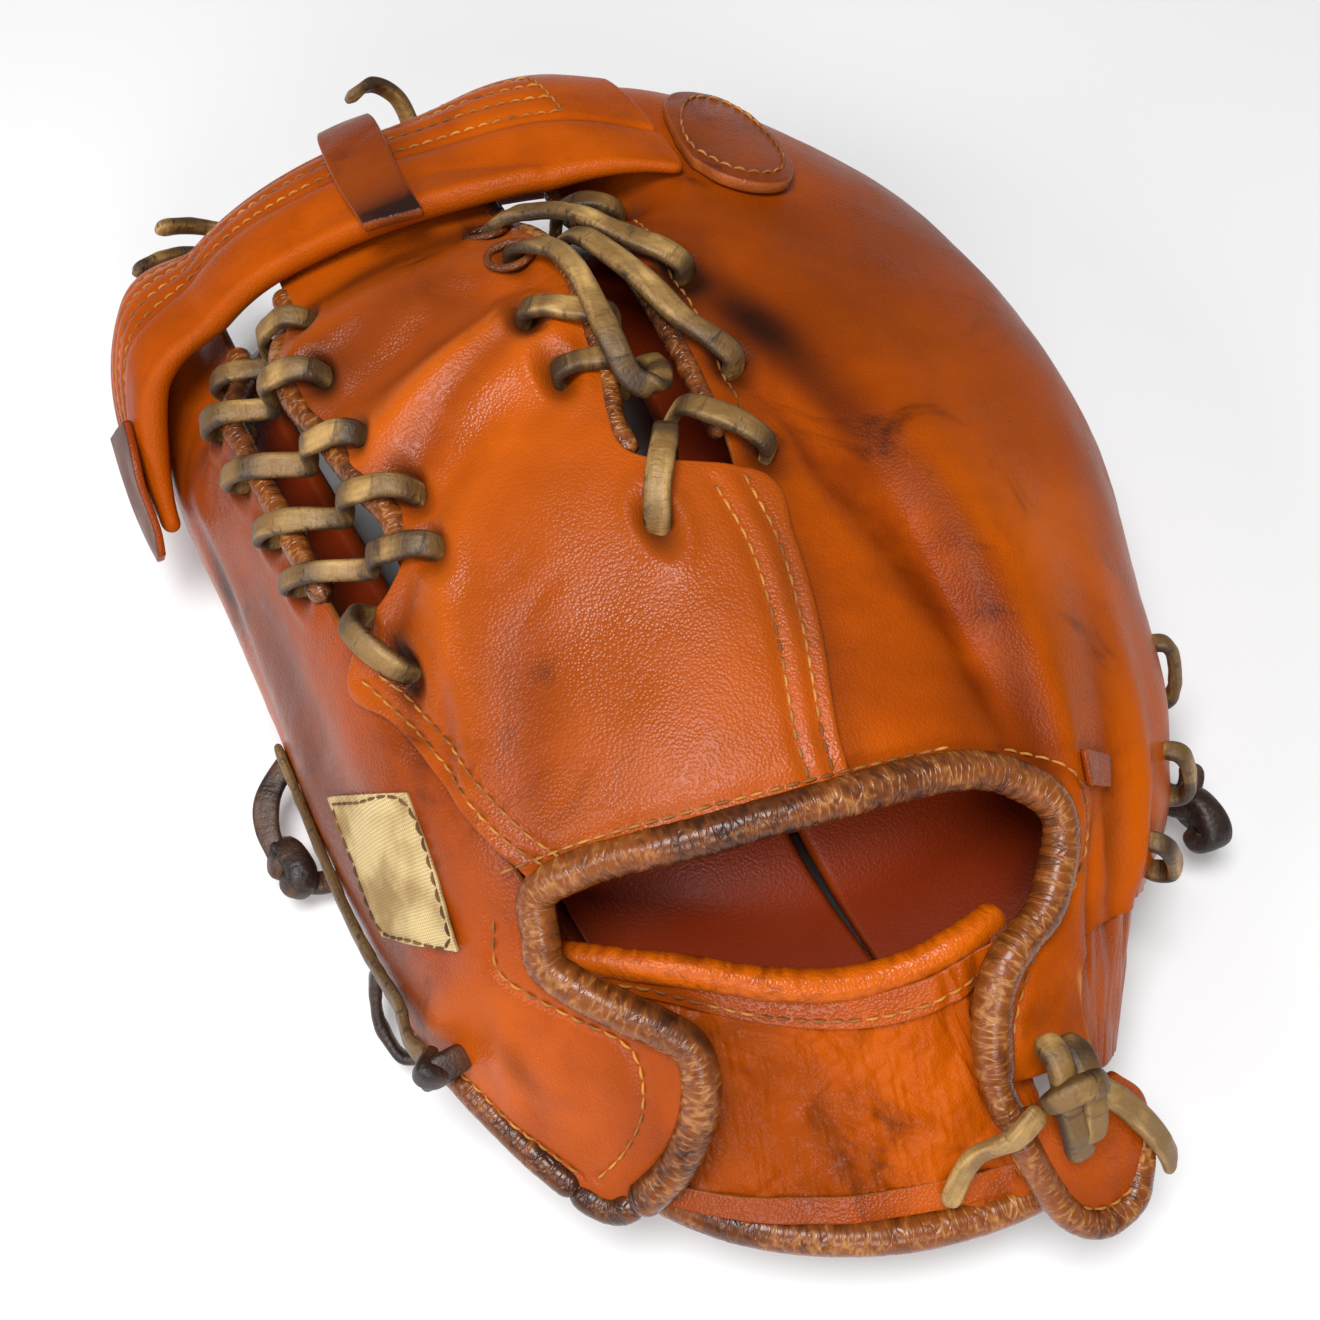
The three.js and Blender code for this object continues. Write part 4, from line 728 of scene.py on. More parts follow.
# Eyelets of the laces, u and v
fingerHoles = [(-.665, 4.98), (-.66, 4.64), (-.655, 4.3), (-.64, 3.93), (-.625, 3.62)]
middleHoles = [(-.395, 4.78), (-.405, 4.4), (-.385, 3.98), (-.345, 3.62), (-.345, 3.34), (-.505, 3.26),
               (-.474, 2.95), (-.065, 4.86), (-.06, 4.54), (-.09, 4.16), (-.083, 3.84), (-.038, 3.08)]
thumbHoles = [(.117, 4.83), (.128, 4.26), (.13, 3.74), (.124, 3.3), (.02, 3.46)]

# Creases that are too fine for the solids: u, v, half length, half width, turn, height
creases = [
    (-.36, 4.46, .022, .0045, 14, -.0026), (-.2, 4.28, .03, .005, 6, -.0016), (-.12, 4.42, .018, .005, -28, -.0018),
    (-.1, 4.2, .026, .004, 14, .0018), (-.14, 4.06, .024, .004, 20, -.0022), (-.05, 3.9, .012, .003, 40, -.0012),
    (-.3, 3.95, .026, .005, 18, .0012), (-.33, 3.72, .02, .004, 28, -.0018), (-.28, 3.45, .024, .005, 30, .0012),
    (-.44, 2.66, .014, .0035, 60, -.0018), (-.4, 2.9, .016, .004, 55, .0014), (-.33, 2.5, .03, .008, 62, -.0014),
    (.18, 3.3, .024, .005, 112, -.0022), (.25, 3.0, .03, .0055, 108, -.0016), (.3, 2.62, .034, .0055, 100, -.0026),
    (.36, 2.15, .026, .0045, 95, -.002), (.44, 2.5, .04, .009, 98, .0016), (.53, 1.5, .026, .005, 100, -.0026),
    (.6, 1.8, .03, .007, 95, .0022), (.66, 1.35, .022, .005, 105, -.002), (.45, 1.15, .016, .004, 80, -.002),
    (.88, 2.1, .016, .006, 20, -.002), (.9, 2.6, .014, .005, -10, -.0016), (-.9, 4.2, .03, .006, 80, -.0016),
    (-.72, 1.3, .02, .006, 30, .0014), (-.62, 1.0, .02, .005, 60, .0012), (-.6, 2.1, .02, .007, 70, -.0012),
    (.13, 4.62, .012, .003, -30, -.0009), (.15, 4.05, .012, .003, -20, -.0009), (-.42, 3.2, .012, .003, 30, -.0012),
]

# Dark marks, partly real stains and partly painted shade that darkens the far top of the mitt: u, v, half length, half
# width, turn, strength
marks = [
    (.18, 3.95, .014, .008, 120, .8), (.24, 3.45, .022, .006, 112, .5), (.33, 2.75, .026, .005, 102, .45),
    (.83, 2.8, .012, .008, 60, .8), (-.9, 4.2, .012, .007, 60, .8), (-.4, 4.3, .018, .005, 10, .35),
    (-.6, .95, .012, .005, 90, .45), (.53, 1.55, .026, .004, 98, .45), (.42, 1.1, .014, .005, 80, .5),
    (-.34, 3.72, .018, .004, 24, .35), (.1, 4.1, .03, .004, 88, .35), (-.78, 2.2, .03, .012, 90, .3),
    (.09, 2.8, .03, .005, 88, .4), (-.13, 4.08, .022, .004, 18, .35), (.7, 4.6, .03, .02, 60, .16),
    (-.46, 3.05, .012, .006, 40, .4), (-.5, 2.75, .024, .004, 62, .35), (-.36, 4.5, .02, .004, 14, .3),
    (.3, 4.5, .012, .010, 40, .28), (.86, 3.4, .014, .01, 80, .3), (-.86, 3.1, .05, .018, 85, .42),
    (-.8, 1.6, .03, .014, 80, .25), (.55, 5.2, .06, .035, 40, .3), (.7, 3.6, .05, .02, 80, .2),
    # (-.25, 4.8) is painted shade on the far top of the middle panel
    (-.25, 4.8, .035, .014, 6, .25), (.2, 4.75, .03, .008, 60, .25), (-.1, 5.0, .04, .008, 4, .3),
    (-.5, 3.3, .01, .006, 60, .4), (.35, 2.05, .016, .005, 95, .4), (-.3, 4.95, .03, .004, 4, .4),
    (-.05, 4.9, .016, .004, 4, .4),
]


def nearLine(u, v, line):  # distance on the skin from each place to a smooth line through points u, v
    scale = np.array([mitt["acrossScale"], mitt["alongScale"]])
    run = curveThrough(np.asarray(line, float) * scale, 6 * len(line))
    x, y = u * scale[0], v * scale[1]
    best = np.full(np.shape(x), 1.0)
    for start, end in zip(run[:-1], run[1:]):
        way = end - start
        t = np.clip(((x - start[0]) * way[0] + (y - start[1]) * way[1]) / (way @ way), 0, 1)
        best = np.minimum(best, np.hypot(x - start[0] - t * way[0], y - start[1] - t * way[1]))
    return best


def nearHoles(u, v, holes):  # distance on the skin to the nearest eyelet, which is a little longer than wide
    away = [np.hypot((u - a) * mitt["acrossScale"], (v - b) * mitt["alongScale"] * .8) for a, b in holes]
    return np.min(away, axis=0)


worn = {  # heights and widths in the leather's surface, in metres
    "lump": .0008, "lumpSize": .026, "ripple": .0001, "rippleSize": .009,
    "wrinkles": [(.006, .00012, .4)], "wrinkleLength": 3.2, "wrinklePatch": .02,  # size, height, turn in radians
    "channel": .0006, "channelWidth": .0016,
    "funnel": .0026, "funnelWidth": .0034, "lip": .0007, "lipAway": .0062, "lipWidth": .002,
    "eyeletDark": .8, "eyeletDarkWidth": .0046, "rawWidth": .0016,
    "wear": .35, "wearOfCrease": 260, "wearOfFold": 60, "wearShare": .7,
}


def relief(u, v, piece):
    # height of the worn surface: creases + soft lumps + fine wrinkles - stitch channels
    # - a funnel with a lip at each eyelet - sunk edges
    x, y = u * mitt["acrossScale"], v * mitt["alongScale"]
    seed, holes = piece.get("seed", 1), piece.get("holes", [])
    height = foldHeight(u, v, creases)
    height = height + worn["lump"] * cloud(x, y, seed, worn["lumpSize"])
    height = height + worn["ripple"] * cloud(x + .4, y, seed + 1, worn["rippleSize"])
    for size, high, turn in piece.get("wrinkles", worn["wrinkles"]):
        across, along = x * np.cos(turn) + y * np.sin(turn), y * np.cos(turn) - x * np.sin(turn)
        ridges = 2 * np.abs(cloud(across / worn["wrinkleLength"], along, seed + 2, size)) - 1
        patches = np.clip(cloud(x, y, seed + 4, worn["wrinklePatch"]) + .5, 0, 1)
        height = height + high * ridges * (.4 + .6 * patches)
    if "sunk" in piece:
        line, deep, wide = piece["sunk"]
        height = height - deep * bell(nearLine(u, v, line) / wide)
    for key in piece.get("seams", []):
        height = height - worn["channel"] * bell(nearLine(u, v, seams[key]) / worn["channelWidth"])
    if holes:
        away = nearHoles(u, v, holes)
        height = height - worn["funnel"] * bell(away / worn["funnelWidth"])
        height = height + worn["lip"] * bell((away - worn["lipAway"]) / worn["lipWidth"])
    return height


def darkness(u, v, holes):  # marks, which are stains and painted shade, + a dark ring at each eyelet
    dark = foldHeight(u, v, marks)
    if holes:
        dark = dark + worn["eyeletDark"] * bell(nearHoles(u, v, holes) / worn["eyeletDarkWidth"])
    return np.clip(dark, 0, 1)


def panelGrid(piece, place):
    # each line runs straight in u, v between its two edge points, shortened by its tucks
    t = np.linspace(0, piece.get("last", 1), piece["lines"]) * (len(piece["rows"]) - 1)
    row = between([r if len(r) == 6 else (*r, 0, 0) for r in piece["rows"]], t)[:, None, :]
    u1, v1, u2, v2, tuck, tuck2 = (row[..., k] for k in range(6))
    wide = np.linalg.norm(place(u1, v1, piece["height"]) - place(u2, v2, piece["height"]), axis=-1)
    s = tuck / wide + (1 - (tuck + tuck2) / wide) * np.linspace(0, 1, piece["columns"])[None]
    return u1 + (u2 - u1) * s, v1 + (v2 - v1) * s


def flatTop(piece):
    return piece["height"] + piece.get("thick", mitt["leather"])


def panelTop(u, v, piece):
    return flatTop(piece) + relief(u, v, piece)


def addPanel(name, piece, node, place=onLobe, material="leather"):
    # a slab between two heights above a surface: its own thickness with the relief, and its underside
    u, v = panelGrid(piece, place)
    high = panelTop(u, v, piece)
    low = piece["height"] + np.minimum(high - flatTop(piece), 0) * .9
    top, bottom = place(u, v, high), place(u, v, low)
    # paler on crease and fold ridges with wear; a piece's bright value adds painted light that makes the whole panel
    # paler
    wear = worn["wear"] + worn["wearOfCrease"] * foldHeight(u, v, creases) + worn["wearOfFold"] * foldHeight(u, v)
    wear = np.clip(wear, 0, 1) * worn["wearShare"] + piece.get("bright", 0)
    bare = bell(nearLine(u, v, piece["bare"]) / worn["rawWidth"]) if "bare" in piece else 0
    values = {"stain": (np.clip(darkness(u, v, piece.get("holes", [])) + piece.get("dirt", 0), 0, 1), .3, .4),
              "edge": (bare, 0, piece.get("raw", .5)),
              "inside": (0, 1, .1), "wear": (wear, 0, .2)}
    uv = np.stack([u * mitt["acrossScale"], v * mitt["alongScale"]], -1)
    return addPiece(name, [slabShell(top, bottom, 3, .35, values, uv)], material, [node] if node else [])


backFinger.update(seams=["openingRight", "flap", "hem"], holes=fingerHoles, seed=11, dirt=.08)
# the middle panel's bright=.3 is painted light that makes it paler all over
backMiddle.update(seams=["openingTop", "fingerSeamOuter", "fingerSeamInner", "thumbSeamOuter", "thumbSeamInner"],
                  holes=middleHoles, seed=14, bright=.3)
backThumb.update(seams=["openingTop", "openingRight", "thumbGap"], holes=thumbHoles, seed=17, bright=.05, dirt=.04,
                 sunk=([(.9, 1.24), (.66, 1.1), (.47, .97)], .0021, .010),
                 bare=[(.362, .82), (.366, .66), (.37, .5)])
addPanel("fingerBack", backFinger, "back_finger")
addPanel("middleBack", backMiddle, "back_middle")
addPanel("thumbBack", backThumb, "back_thumb", material="dullLeather")
print("back panels made")


# Panels of the wrist

thumbHeel = {
    "rows": [(.42, .98, 1, 1.32), (.4, .76, 1, .92), (.4, .54, .98, .56), (.43, .34, .86, .26)],
    "lines": 60, "columns": 90, "height": -.0036, "seed": 21, "dirt": .3, "wrinkles": [(.004, .0003, 1.2)],
}
thumbTab = {
    "rows": [(.04, .43, .36, .43), (.03, .3, .44, .3), (.035, .14, .46, .14), (.075, -.02, .42, -.02),
             (.14, -.1, .36, -.12)],
    "lines": 70, "columns": 60, "height": 0, "seed": 22, "raw": 0,
}
wristStrap = {
    "rows": [(-.5, 1.46, -.52, .14, .002, .002), (-.4, 1.4, -.42, .08, .002, .002), (-.3, 1.26, -.32, .02, .002, .002),
             (-.19, 1.1, -.2, 0, .002, .002), (-.06, 1.01, -.06, -.01, .002, .002), (.08, 1.04, .06, .02, .002, .002),
             (.2, 1.1, .17, .06, .002, .002)],
    "lines": 300, "columns": 120, "height": 0, "seed": 23, "bright": .1, "dirt": .12,
    "wrinkles": [(.0026, .0005, .3), (.0036, .0005, -.45), (.0018, .0003, 1.2)],
}


tabLift = {"lift": .0044, "rise": .0025, "from": .15, "to": .45}  # above the skin, and more towards its outer end


def tabPlace(u, v, height):
    return onSkin(u, v, height + tabLift["lift"] + tabLift["rise"] * smooth(tabLift["from"], tabLift["to"], u))


pulls = [  # deep folds where the wrist band is drawn under the thumb: u, v, half length, half width, turn, height
    (.085, .6, .014, .0028, 66, -.0024), (.125, .66, .014, .003, 74, -.003), (.055, .52, .012, .003, 60, .0012),
    (.105, .3, .010, .003, 100, -.002), (.05, .3, .012, .003, 110, -.0014), (.02, .72, .012, .003, 50, -.001),
    (.02, .45, .016, .004, 62, -.0008), (-.3, .55, .02, .006, 100, -.0016), (-.12, .5, .03, .01, 10, .001),
]


strapShape = {
    "sunk": .0034, "sinkMore": .006, "sinkFrom": .05, "sinkTo": .7,  # below the skin, more with v
    "wave": .0012, "waves": 9, "gather": .0006, "gatherSize": .005, "gatherLength": .35,
    "gatherFrom": -.06, "gatherTo": .14, "seed": 31,
}


def strapPlace(u, v, height):  # the wrist band's own surface: the skin sunk with v + a wave + gathers + pulls
    x, y = u * mitt["acrossScale"], v * mitt["alongScale"]
    ridges = 1 - 2 * np.abs(cloud(x, y * strapShape["gatherLength"], strapShape["seed"], strapShape["gatherSize"]))
    gathers = strapShape["gather"] * ridges * smooth(strapShape["gatherFrom"], strapShape["gatherTo"], u)
    sinking = strapShape["sinkMore"] * smooth(strapShape["sinkFrom"], strapShape["sinkTo"], v)
    sunk = height - strapShape["sunk"] - sinking
    wave = strapShape["wave"] * np.sin(u * strapShape["waves"])
    return onSkin(u, v, sunk + wave + gathers + foldHeight(u, v, pulls))


addPanel("thumbHeelPad", thumbHeel, "thumb_heel", onLobe)
addPanel("roundTab", thumbTab, "thumb_tab", tabPlace)
addPanel("wristBand", wristStrap, "wrist_strap", strapPlace, "dullLeather")


# Bindings and rolls follow the same edge lines as the panels

def edgeLine(piece, side, first, last, height):
    # points u, v, height on one edge of a panel's table, half a row apart; side is that of u in the rows
    steps = int(round(2 * abs(last - first)))
    row = between(piece["rows"], np.linspace(first, last, steps + 1))
    return [(*place, height) for place in row[:, side:side + 2]]


def acrossFoot(piece, shares, height):  # points on a panel's last row
    u1, v1, u2, v2 = piece["rows"][-1][:4]
    return [(u1 + (u2 - u1) * s, v1 + (v2 - v1) * s, height) for s in shares]


tabLine = [(.03, .41, .0056), (.035, .2, .0056), (.06, .02, .0056), (.13, -.09, .0056), (.26, -.14, .0065),
           (.38, -.1, .0075), (.45, .05, .0075), (.46, .2, .006)]
strapTopLine = [(-.52, 1.56, -.008), (-.44, 1.47, -.008), (-.37, 1.37, -.008), (-.3, 1.28, -.008), (-.19, 1.1, -.0085),
                (-.08, 1.01, -.0085), (.03, 1.02, -.008), (.12, 1.06, -.0075), (.2, 1.1, -.008), (.26, 1.15, -.0085)]
strapBottomLine = [(-.52, .14, -.0065), (-.4, .06, -.004), (-.25, 0, -.0026), (-.1, -.02, -.0024), (.03, 0, -.0036),
                   (.16, .05, -.006)]
rolls = {
    "openingRoll": {
        "node": "opening_binding", "radius": .0039, "seed": 41, "place": onLobe,
        "line": edgeLine(backThumb, 0, 15, 9, .0022) + acrossFoot(backMiddle, (.85, .5, .15), .0038)
        + edgeLine(backFinger, 0, 8, 14, .0022),
    },
    "hemRoll": {"node": "finger_hem_binding", "radius": .0032, "seed": 42, "place": onLobe,
                "line": edgeLine(backFinger, 2, 14, 10, .0012)},
    "fingerGapRoll": {"node": "finger_gap_roll", "radius": .003, "seed": 43, "place": onLobe,
                      "line": edgeLine(backFinger, 0, 2.5, 5, .0021)},
    "middleFingerRoll": {"node": "middle_finger_roll", "radius": .003, "seed": 44, "place": onLobe,
                         "line": edgeLine(backMiddle, 0, 2.5, 6, .0036)},
    "middleThumbRoll": {"node": "middle_thumb_roll", "radius": .0023, "seed": 45, "place": onLobe,
                        "line": edgeLine(backMiddle, 2, 2.5, 6, .0038)},
    "thumbGapRoll": {"node": "thumb_gap_roll", "radius": .0023, "seed": 46, "place": onLobe,
                     "line": edgeLine(backThumb, 0, 2.5, 5, .0021)},
    "tabRoll": {"node": "tab_binding", "radius": .0032, "seed": 47, "place": onSkin, "line": tabLine},
    "strapTopRoll": {"node": "strap_top_roll", "radius": .0034, "seed": 48, "place": onSkin, "line": strapTopLine,
                     "material": "leather", "wrinkle": .025},
    "cornerRoll": {"node": None, "radius": .0034, "seed": 50, "place": onLobe,
                   "line": [(-.518, .24, .0018), (-.545, .15, .001), (-.585, .11, .0006), (-.62, .15, .0008),
                            (-.63, .21, .001)]},
    "tabCorner": {"node": None, "radius": .0034, "seed": 51, "place": onLobe,
                  "line": [(.06, .62, .0022), (.038, .52, .0026), (.03, .44, .0042), (.03, .37, .0052)]},
    "strapBottomRoll": {"node": "strap_bottom_roll", "radius": .0038, "seed": 49, "place": onSkin,
                        "line": strapBottomLine},
}


rollStep, rollWrinkle = .0007, .034  # metres between two rings, and the share of the radius that wrinkles take


def addRoll(name, rod):  # a round wrinkled rod along its line, paler on its ridges and its upper side, partly wear and partly painted highlight
    length = lengthOf(overSkin(rod["line"], 60, rod["place"])[0])
    count = int(length / rollStep)
    path, run = overSkin(rod["line"], count, rod["place"])
    up = normalOf(skin, run[:, 0], run[:, 1])
    section, ridges = rollSection(count, length, rod["radius"], rod["seed"], rod.get("wrinkle", rollWrinkle))
    # the sin term makes the upper side paler: painted highlight as well as wear
    wear = np.clip(ridges * .5 + .45 + .35 * np.sin(np.arange(rollSides) * 2 * np.pi / rollSides)[None], 0, 1)
    material = rod.get("material", "binding")
    shell = bandShell(path, np.cross(unit(np.gradient(path, axis=0)), up), section, {"wear": wear, "inside": 0})
    return addPiece(name, [shell], material, [rod["node"]] if rod["node"] else [])


for name, rod in rolls.items():
    addRoll(name, rod)
print("rolls and bindings made")


# Laces of the two gaps: up through an eyelet, over a rolled edge, down into the gap, over the other edge

over = {"finger": .0068, "middle": .0086, "bend": .0022}  # heights of a lace over the two rolled edges


def crossing(first, second, dip, lift=0):  # a lace's route from one eyelet to the other, dip is its height in the gap
    (u1, v1), (u2, v2) = first, second
    nudge = .02 * np.sign(u2 - u1)
    low, high = over["finger"], over["middle"]

    def part(k):
        return (u1 + (u2 - u1) * k, v1 + (v2 - v1) * k)

    return [(u1, v1, -.007), (u1, v1, -.001), (u1, v1, low - over["bend"]), (u1 + nudge, part(.08)[1], low + lift),
            (*part(.23), low + lift), (*part(.5), dip), (*part(.7), high - .0012 + lift), (*part(.81), high + lift),
            (u2 - nudge, part(.92)[1], high + lift), (u2, v2, high - over["bend"]), (u2, v2, -.001), (u2, v2, -.007)]


gapLaces = {
    "finger_gap_lace_1": crossing((-.665, 4.98), (-.395, 4.78), 0, .0015),
    "finger_gap_lace_2": crossing((-.66, 4.64), (-.405, 4.4), -.002, .0004),
    "finger_gap_lace_3": crossing((-.655, 4.3), (-.385, 3.98), -.002, .0002),
    "finger_gap_lace_4": crossing((-.64, 3.93), (-.345, 3.62), -.002, .0002),
    "finger_gap_lace_5": crossing((-.625, 3.62), (-.345, 3.34), -.001),
    "thumb_gap_lace_1": [
        (-.065, 4.86, -.007), (-.065, 4.86, -.001), (-.063, 4.855, .0062), (-.042, 4.83, .0086), (.005, 4.78, .009),
        (.035, 4.67, .0082), (.057, 4.52, .0074), (.085, 4.4, .007), (.11, 4.32, .0063), (.127, 4.27, .0038),
        (.128, 4.26, -.001), (.128, 4.26, -.007)],
    "thumb_gap_lace_2": [
        (.018, 4.7, -.005), (.018, 4.66, -.001), (.02, 4.58, .0034), (.028, 4.47, .0076), (.042, 4.34, .0086),
        (.064, 4.12, .0082), (.085, 3.93, .0072), (.11, 3.81, .0063), (.128, 3.75, .0038), (.13, 3.74, -.001),
        (.13, 3.74, -.007)],
    "thumb_gap_lace_3": [
        (-.06, 4.54, -.007), (-.06, 4.54, -.001), (-.058, 4.53, .0062), (-.036, 4.48, .0086), (-.012, 4.4, .0092),
        (-.004, 4.27, .0102), (-.006, 4.12, .0116), (-.006, 3.97, .0118), (-.005, 3.82, .0122), (.006, 3.68, .0075),
        (.028, 3.66, .005), (.043, 3.75, .0032), (.044, 3.86, 0), (.043, 3.94, -.005)],
    "thumb_gap_lace_4": [
        (.036, 3.58, -.005), (.038, 3.57, -.001), (.05, 3.53, .0056), (.072, 3.45, .0074), (.1, 3.37, .0068),
        (.121, 3.31, .0042), (.124, 3.3, -.001), (.124, 3.3, -.007)],
    "thumb_gap_lace_5": [
        (-.09, 4.16, -.007), (-.09, 4.16, -.001), (-.088, 4.155, .0062), (-.066, 4.12, .0079), (-.035, 4.07, .008),
        (-.01, 4.03, .0084), (.01, 4.01, .0074), (.015, 4, .001), (.015, 4, -.005)],
    "thumb_gap_lace_6": [
        (-.083, 3.84, -.007), (-.083, 3.84, -.001), (-.081, 3.84, .0062), (-.06, 3.83, .0079), (-.035, 3.82, .008),
        (-.015, 3.81, .0083), (.002, 3.8, .0063), (.005, 3.8, .001), (.005, 3.8, -.005)],
    "thumb_gap_lace_7": [
        (.038, 4.95, -.005), (.04, 4.95, 0), (.046, 4.93, .0054), (.066, 4.9, .0078), (.09, 4.86, .0072),
        (.113, 4.83, .0042), (.117, 4.83, -.001), (.117, 4.83, -.007)],
    "finger_crotch_lace": [(-.505, 3.26, -.007), (-.505, 3.26, -.001), (-.505, 3.25, .0065), (-.5, 3.18, .01),
                           (-.487, 3.06, .01), (-.475, 2.96, .0065), (-.474, 2.95, -.001), (-.474, 2.95, -.007)],
    "thumb_crotch_lace": [(.02, 3.46, -.007), (.02, 3.46, -.001), (.018, 3.44, .0065), (.004, 3.33, .01),
                          (-.024, 3.18, .01), (-.037, 3.09, .0065), (-.038, 3.08, -.001), (-.038, 3.08, -.007)],
    "rim_lace_right_1": [(.8, 2.52, 0), (.8, 2.5, .0045), (.87, 2.42, .006), (.93, 2.36, .0045), (.94, 2.34, -.001)],
    "rim_lace_right_2": [(.72, 1.98, 0), (.72, 1.96, .0045), (.8, 1.88, .006), (.88, 1.82, .0045), (.89, 1.8, -.001)],
    "rim_lace_right_3": [(.64, 1.47, 0), (.64, 1.45, .0045), (.72, 1.37, .006), (.8, 1.31, .0045), (.81, 1.29, -.001)],
}


def strandShell(path, width, thick, seed, up=None):
    # the strip's wide way lies across the plane in which the lace bends, so it turns without twist
    length = lengthOf(path)
    tangent = unit(np.gradient(path, axis=0))
    middle = len(path) // 2
    side = np.cross(tangent[middle], up if up is not None else np.array([0, 0, 1.0]))
    section = laceSection(len(path), length, width, thick, seed)
    bend = np.linalg.norm(np.gradient(tangent, axis=0), axis=1) / (length / len(path))
    pinch = np.clip(bend * .004, 0, 1)[:, None] * .5
    turn = np.arange(section.shape[1]) * 2 * np.pi / section.shape[1]
    # the strip's two narrow sides are painted darker, as shade
    rim = np.abs(np.cos(turn))[None] ** 4 * .4
    blotches = cloud(np.linspace(0, length, len(path)), np.full(len(path), .3), seed + 5, .006)
    patches = .5 * np.clip(blotches + .1, 0, 1)
    return bandShell(path, side, section, {"stain": np.clip(pinch + rim + patches[:, None], 0, 1)})


laceWidths = {"gap": .0053, "rim": .0045, "tip": .0052}


def addLace(node, route, place=onLobe, width=laceWidths["tip"], thick=.0029, count=90):
    path, run = overSkin(route, count, place)
    middle = run[len(run) // 2]
    up = normalOf(skin, middle[0], middle[1])
    seed = 60 + sum(map(ord, node)) % 97
    words = node.split("_")
    name = words[0] + "".join(word.title() for word in words[1:])
    addPiece(name, [strandShell(path, width, thick, seed, up)], "lace", [node])


for node, route in gapLaces.items():
    addLace(node, route, width=laceWidths["rim" if "rim" in node else "gap"])

tipEnds = {
    "tip_end_curl": [(-.05, 6.42, .003), (-.046, 6.38, .009), (-.06, 6.32, .014), (-.1, 6.26, .017),
                     (-.155, 6.22, .014)],
    "tip_end_flat": [(-.14, 6.6, .005), (-.06, 6.66, .008), (.02, 6.66, .008), (.1, 6.6, .005)],
    "tip_end_left_upper": [(-.56, 6.62, .005), (-.575, 6.58, .009), (-.61, 6.48, .013), (-.65, 6.32, .016)],
    "tip_end_left_lower": [(-.665, 6.62, .005), (-.68, 6.58, .008), (-.705, 6.42, .011), (-.74, 6.2, .0125)],
}
for node, route in tipEnds.items():
    addLace(node, route, onSkin)
print("laces made")


# Knots: several strands in one piece

def skinStrand(route, place, width, thick, seed):
    path, run = overSkin(route, 60, place)
    middle = run[len(run) // 2]
    return strandShell(path, width, thick, seed, normalOf(skin, middle[0], middle[1]))


def freeStrand(points, width, thick, seed, up=(0, 0, 1)):
    path = curveThrough(np.asarray(points, float) - np.array([*mitt["centre"], 0]), 60)
    return strandShell(path, width, thick, seed, np.asarray(up, float))


wristKnot = [
    [(.165, .71, .0085), (.16, .66, .013), (.142, .52, .015), (.14, .38, .014), (.15, .28, .0115), (.158, .24, .009)],
    [(.215, .68, .0085), (.212, .63, .013), (.195, .5, .0155), (.185, .38, .0145), (.176, .3, .012)],
    [(.1, .5, .012), (.115, .53, .015), (.15, .56, .0172), (.2, .56, .0176), (.23, .53, .015)],
]
leftTailKnot = [
    [(-.72, .99, 0), (-.728, 1, .007), (-.75, .98, .0095), (-.79, .88, .008)],
    [(-.76, 1.08, .0055), (-.745, 1, .0105), (-.74, .9, .006)],
]
hangingKnots = {  # beside the rims; each strand is its points, width, thickness, seed, and where its face looks
    "leftKnot": ("left_knot", [
        ([(-.099, -.013, .009), (-.095, -.009, .012), (-.093, -.015, .012), (-.097, -.018, .009)], .008, .008, 81),
        ([(-.0845, .012, .0185), (-.09, .011, .0165), (-.096, .005, .015), (-.098, -.002, .013),
          (-.0965, -.011, .0105)], .006, .003, 82),
        ([(-.095, -.015, .01), (-.09, -.017, .0085), (-.085, -.017, .007)], .006, .003, 83)]),
    "leftLoop": ("left_loop", [
        ([(-.081, -.046, .02), (-.083, -.05, .016), (-.084, -.055, .012), (-.083, -.06, .0095),
          (-.081, -.064, .009), (-.076, -.066, .01)], .007, .003, 84, (-1, 0, 0))]),
    "rightKnot": ("right_knot", [
        ([(.105, -.062, .016), (.11, -.067, .0205), (.111, -.073, .018), (.107, -.072, .013)], .008, .008, 85),
        ([(.101, -.057, .0145), (.105, -.061, .017), (.109, -.066, .018), (.112, -.07, .014)], .0068, .0068, 86),
        ([(.106, -.066, .02), (.111, -.061, .021), (.114, -.056, .019)], .006, .003, 87)]),
}
addPiece("wristKnot", [skinStrand(s, onSkin, .0056, .0044, 71 + k) for k, s in enumerate(wristKnot)],
         "lace", ["wrist_knot"])
addPiece("leftTailKnot", [skinStrand(s, onLobe, .0065, .004, 75 + k) for k, s in enumerate(leftTailKnot)],
         "dark_lace", ["left_tail_knot"])
for name, (node, strands) in hangingKnots.items():
    addPiece(name, [freeStrand(*strand) for strand in strands], "dark_lace", [node])
print("knots made")


# Padding: Cloth with pressure fills each closed shell, and no point may move further than its limit

filling = {
    "frames": 20, "pressure": 4, "mass": .001, "bending": .02, "quality": 4,
    "limit": .0011, "slack": .0009,  # slack is how much thinner the pieces are made before they are filled
}
padded = []


def waitForFilling(piece, held):  # held is 1 at the points that seams and stitches hold, 0 at those that are free
    padded.append((piece, np.round(np.clip(held, 0, 1) * 4) / 4))


def placesOf(mesh):
    places = np.empty(len(mesh.vertices) * 3, np.float32)
    mesh.vertices.foreach_get("co", places)
    return places.reshape(-1, 3)


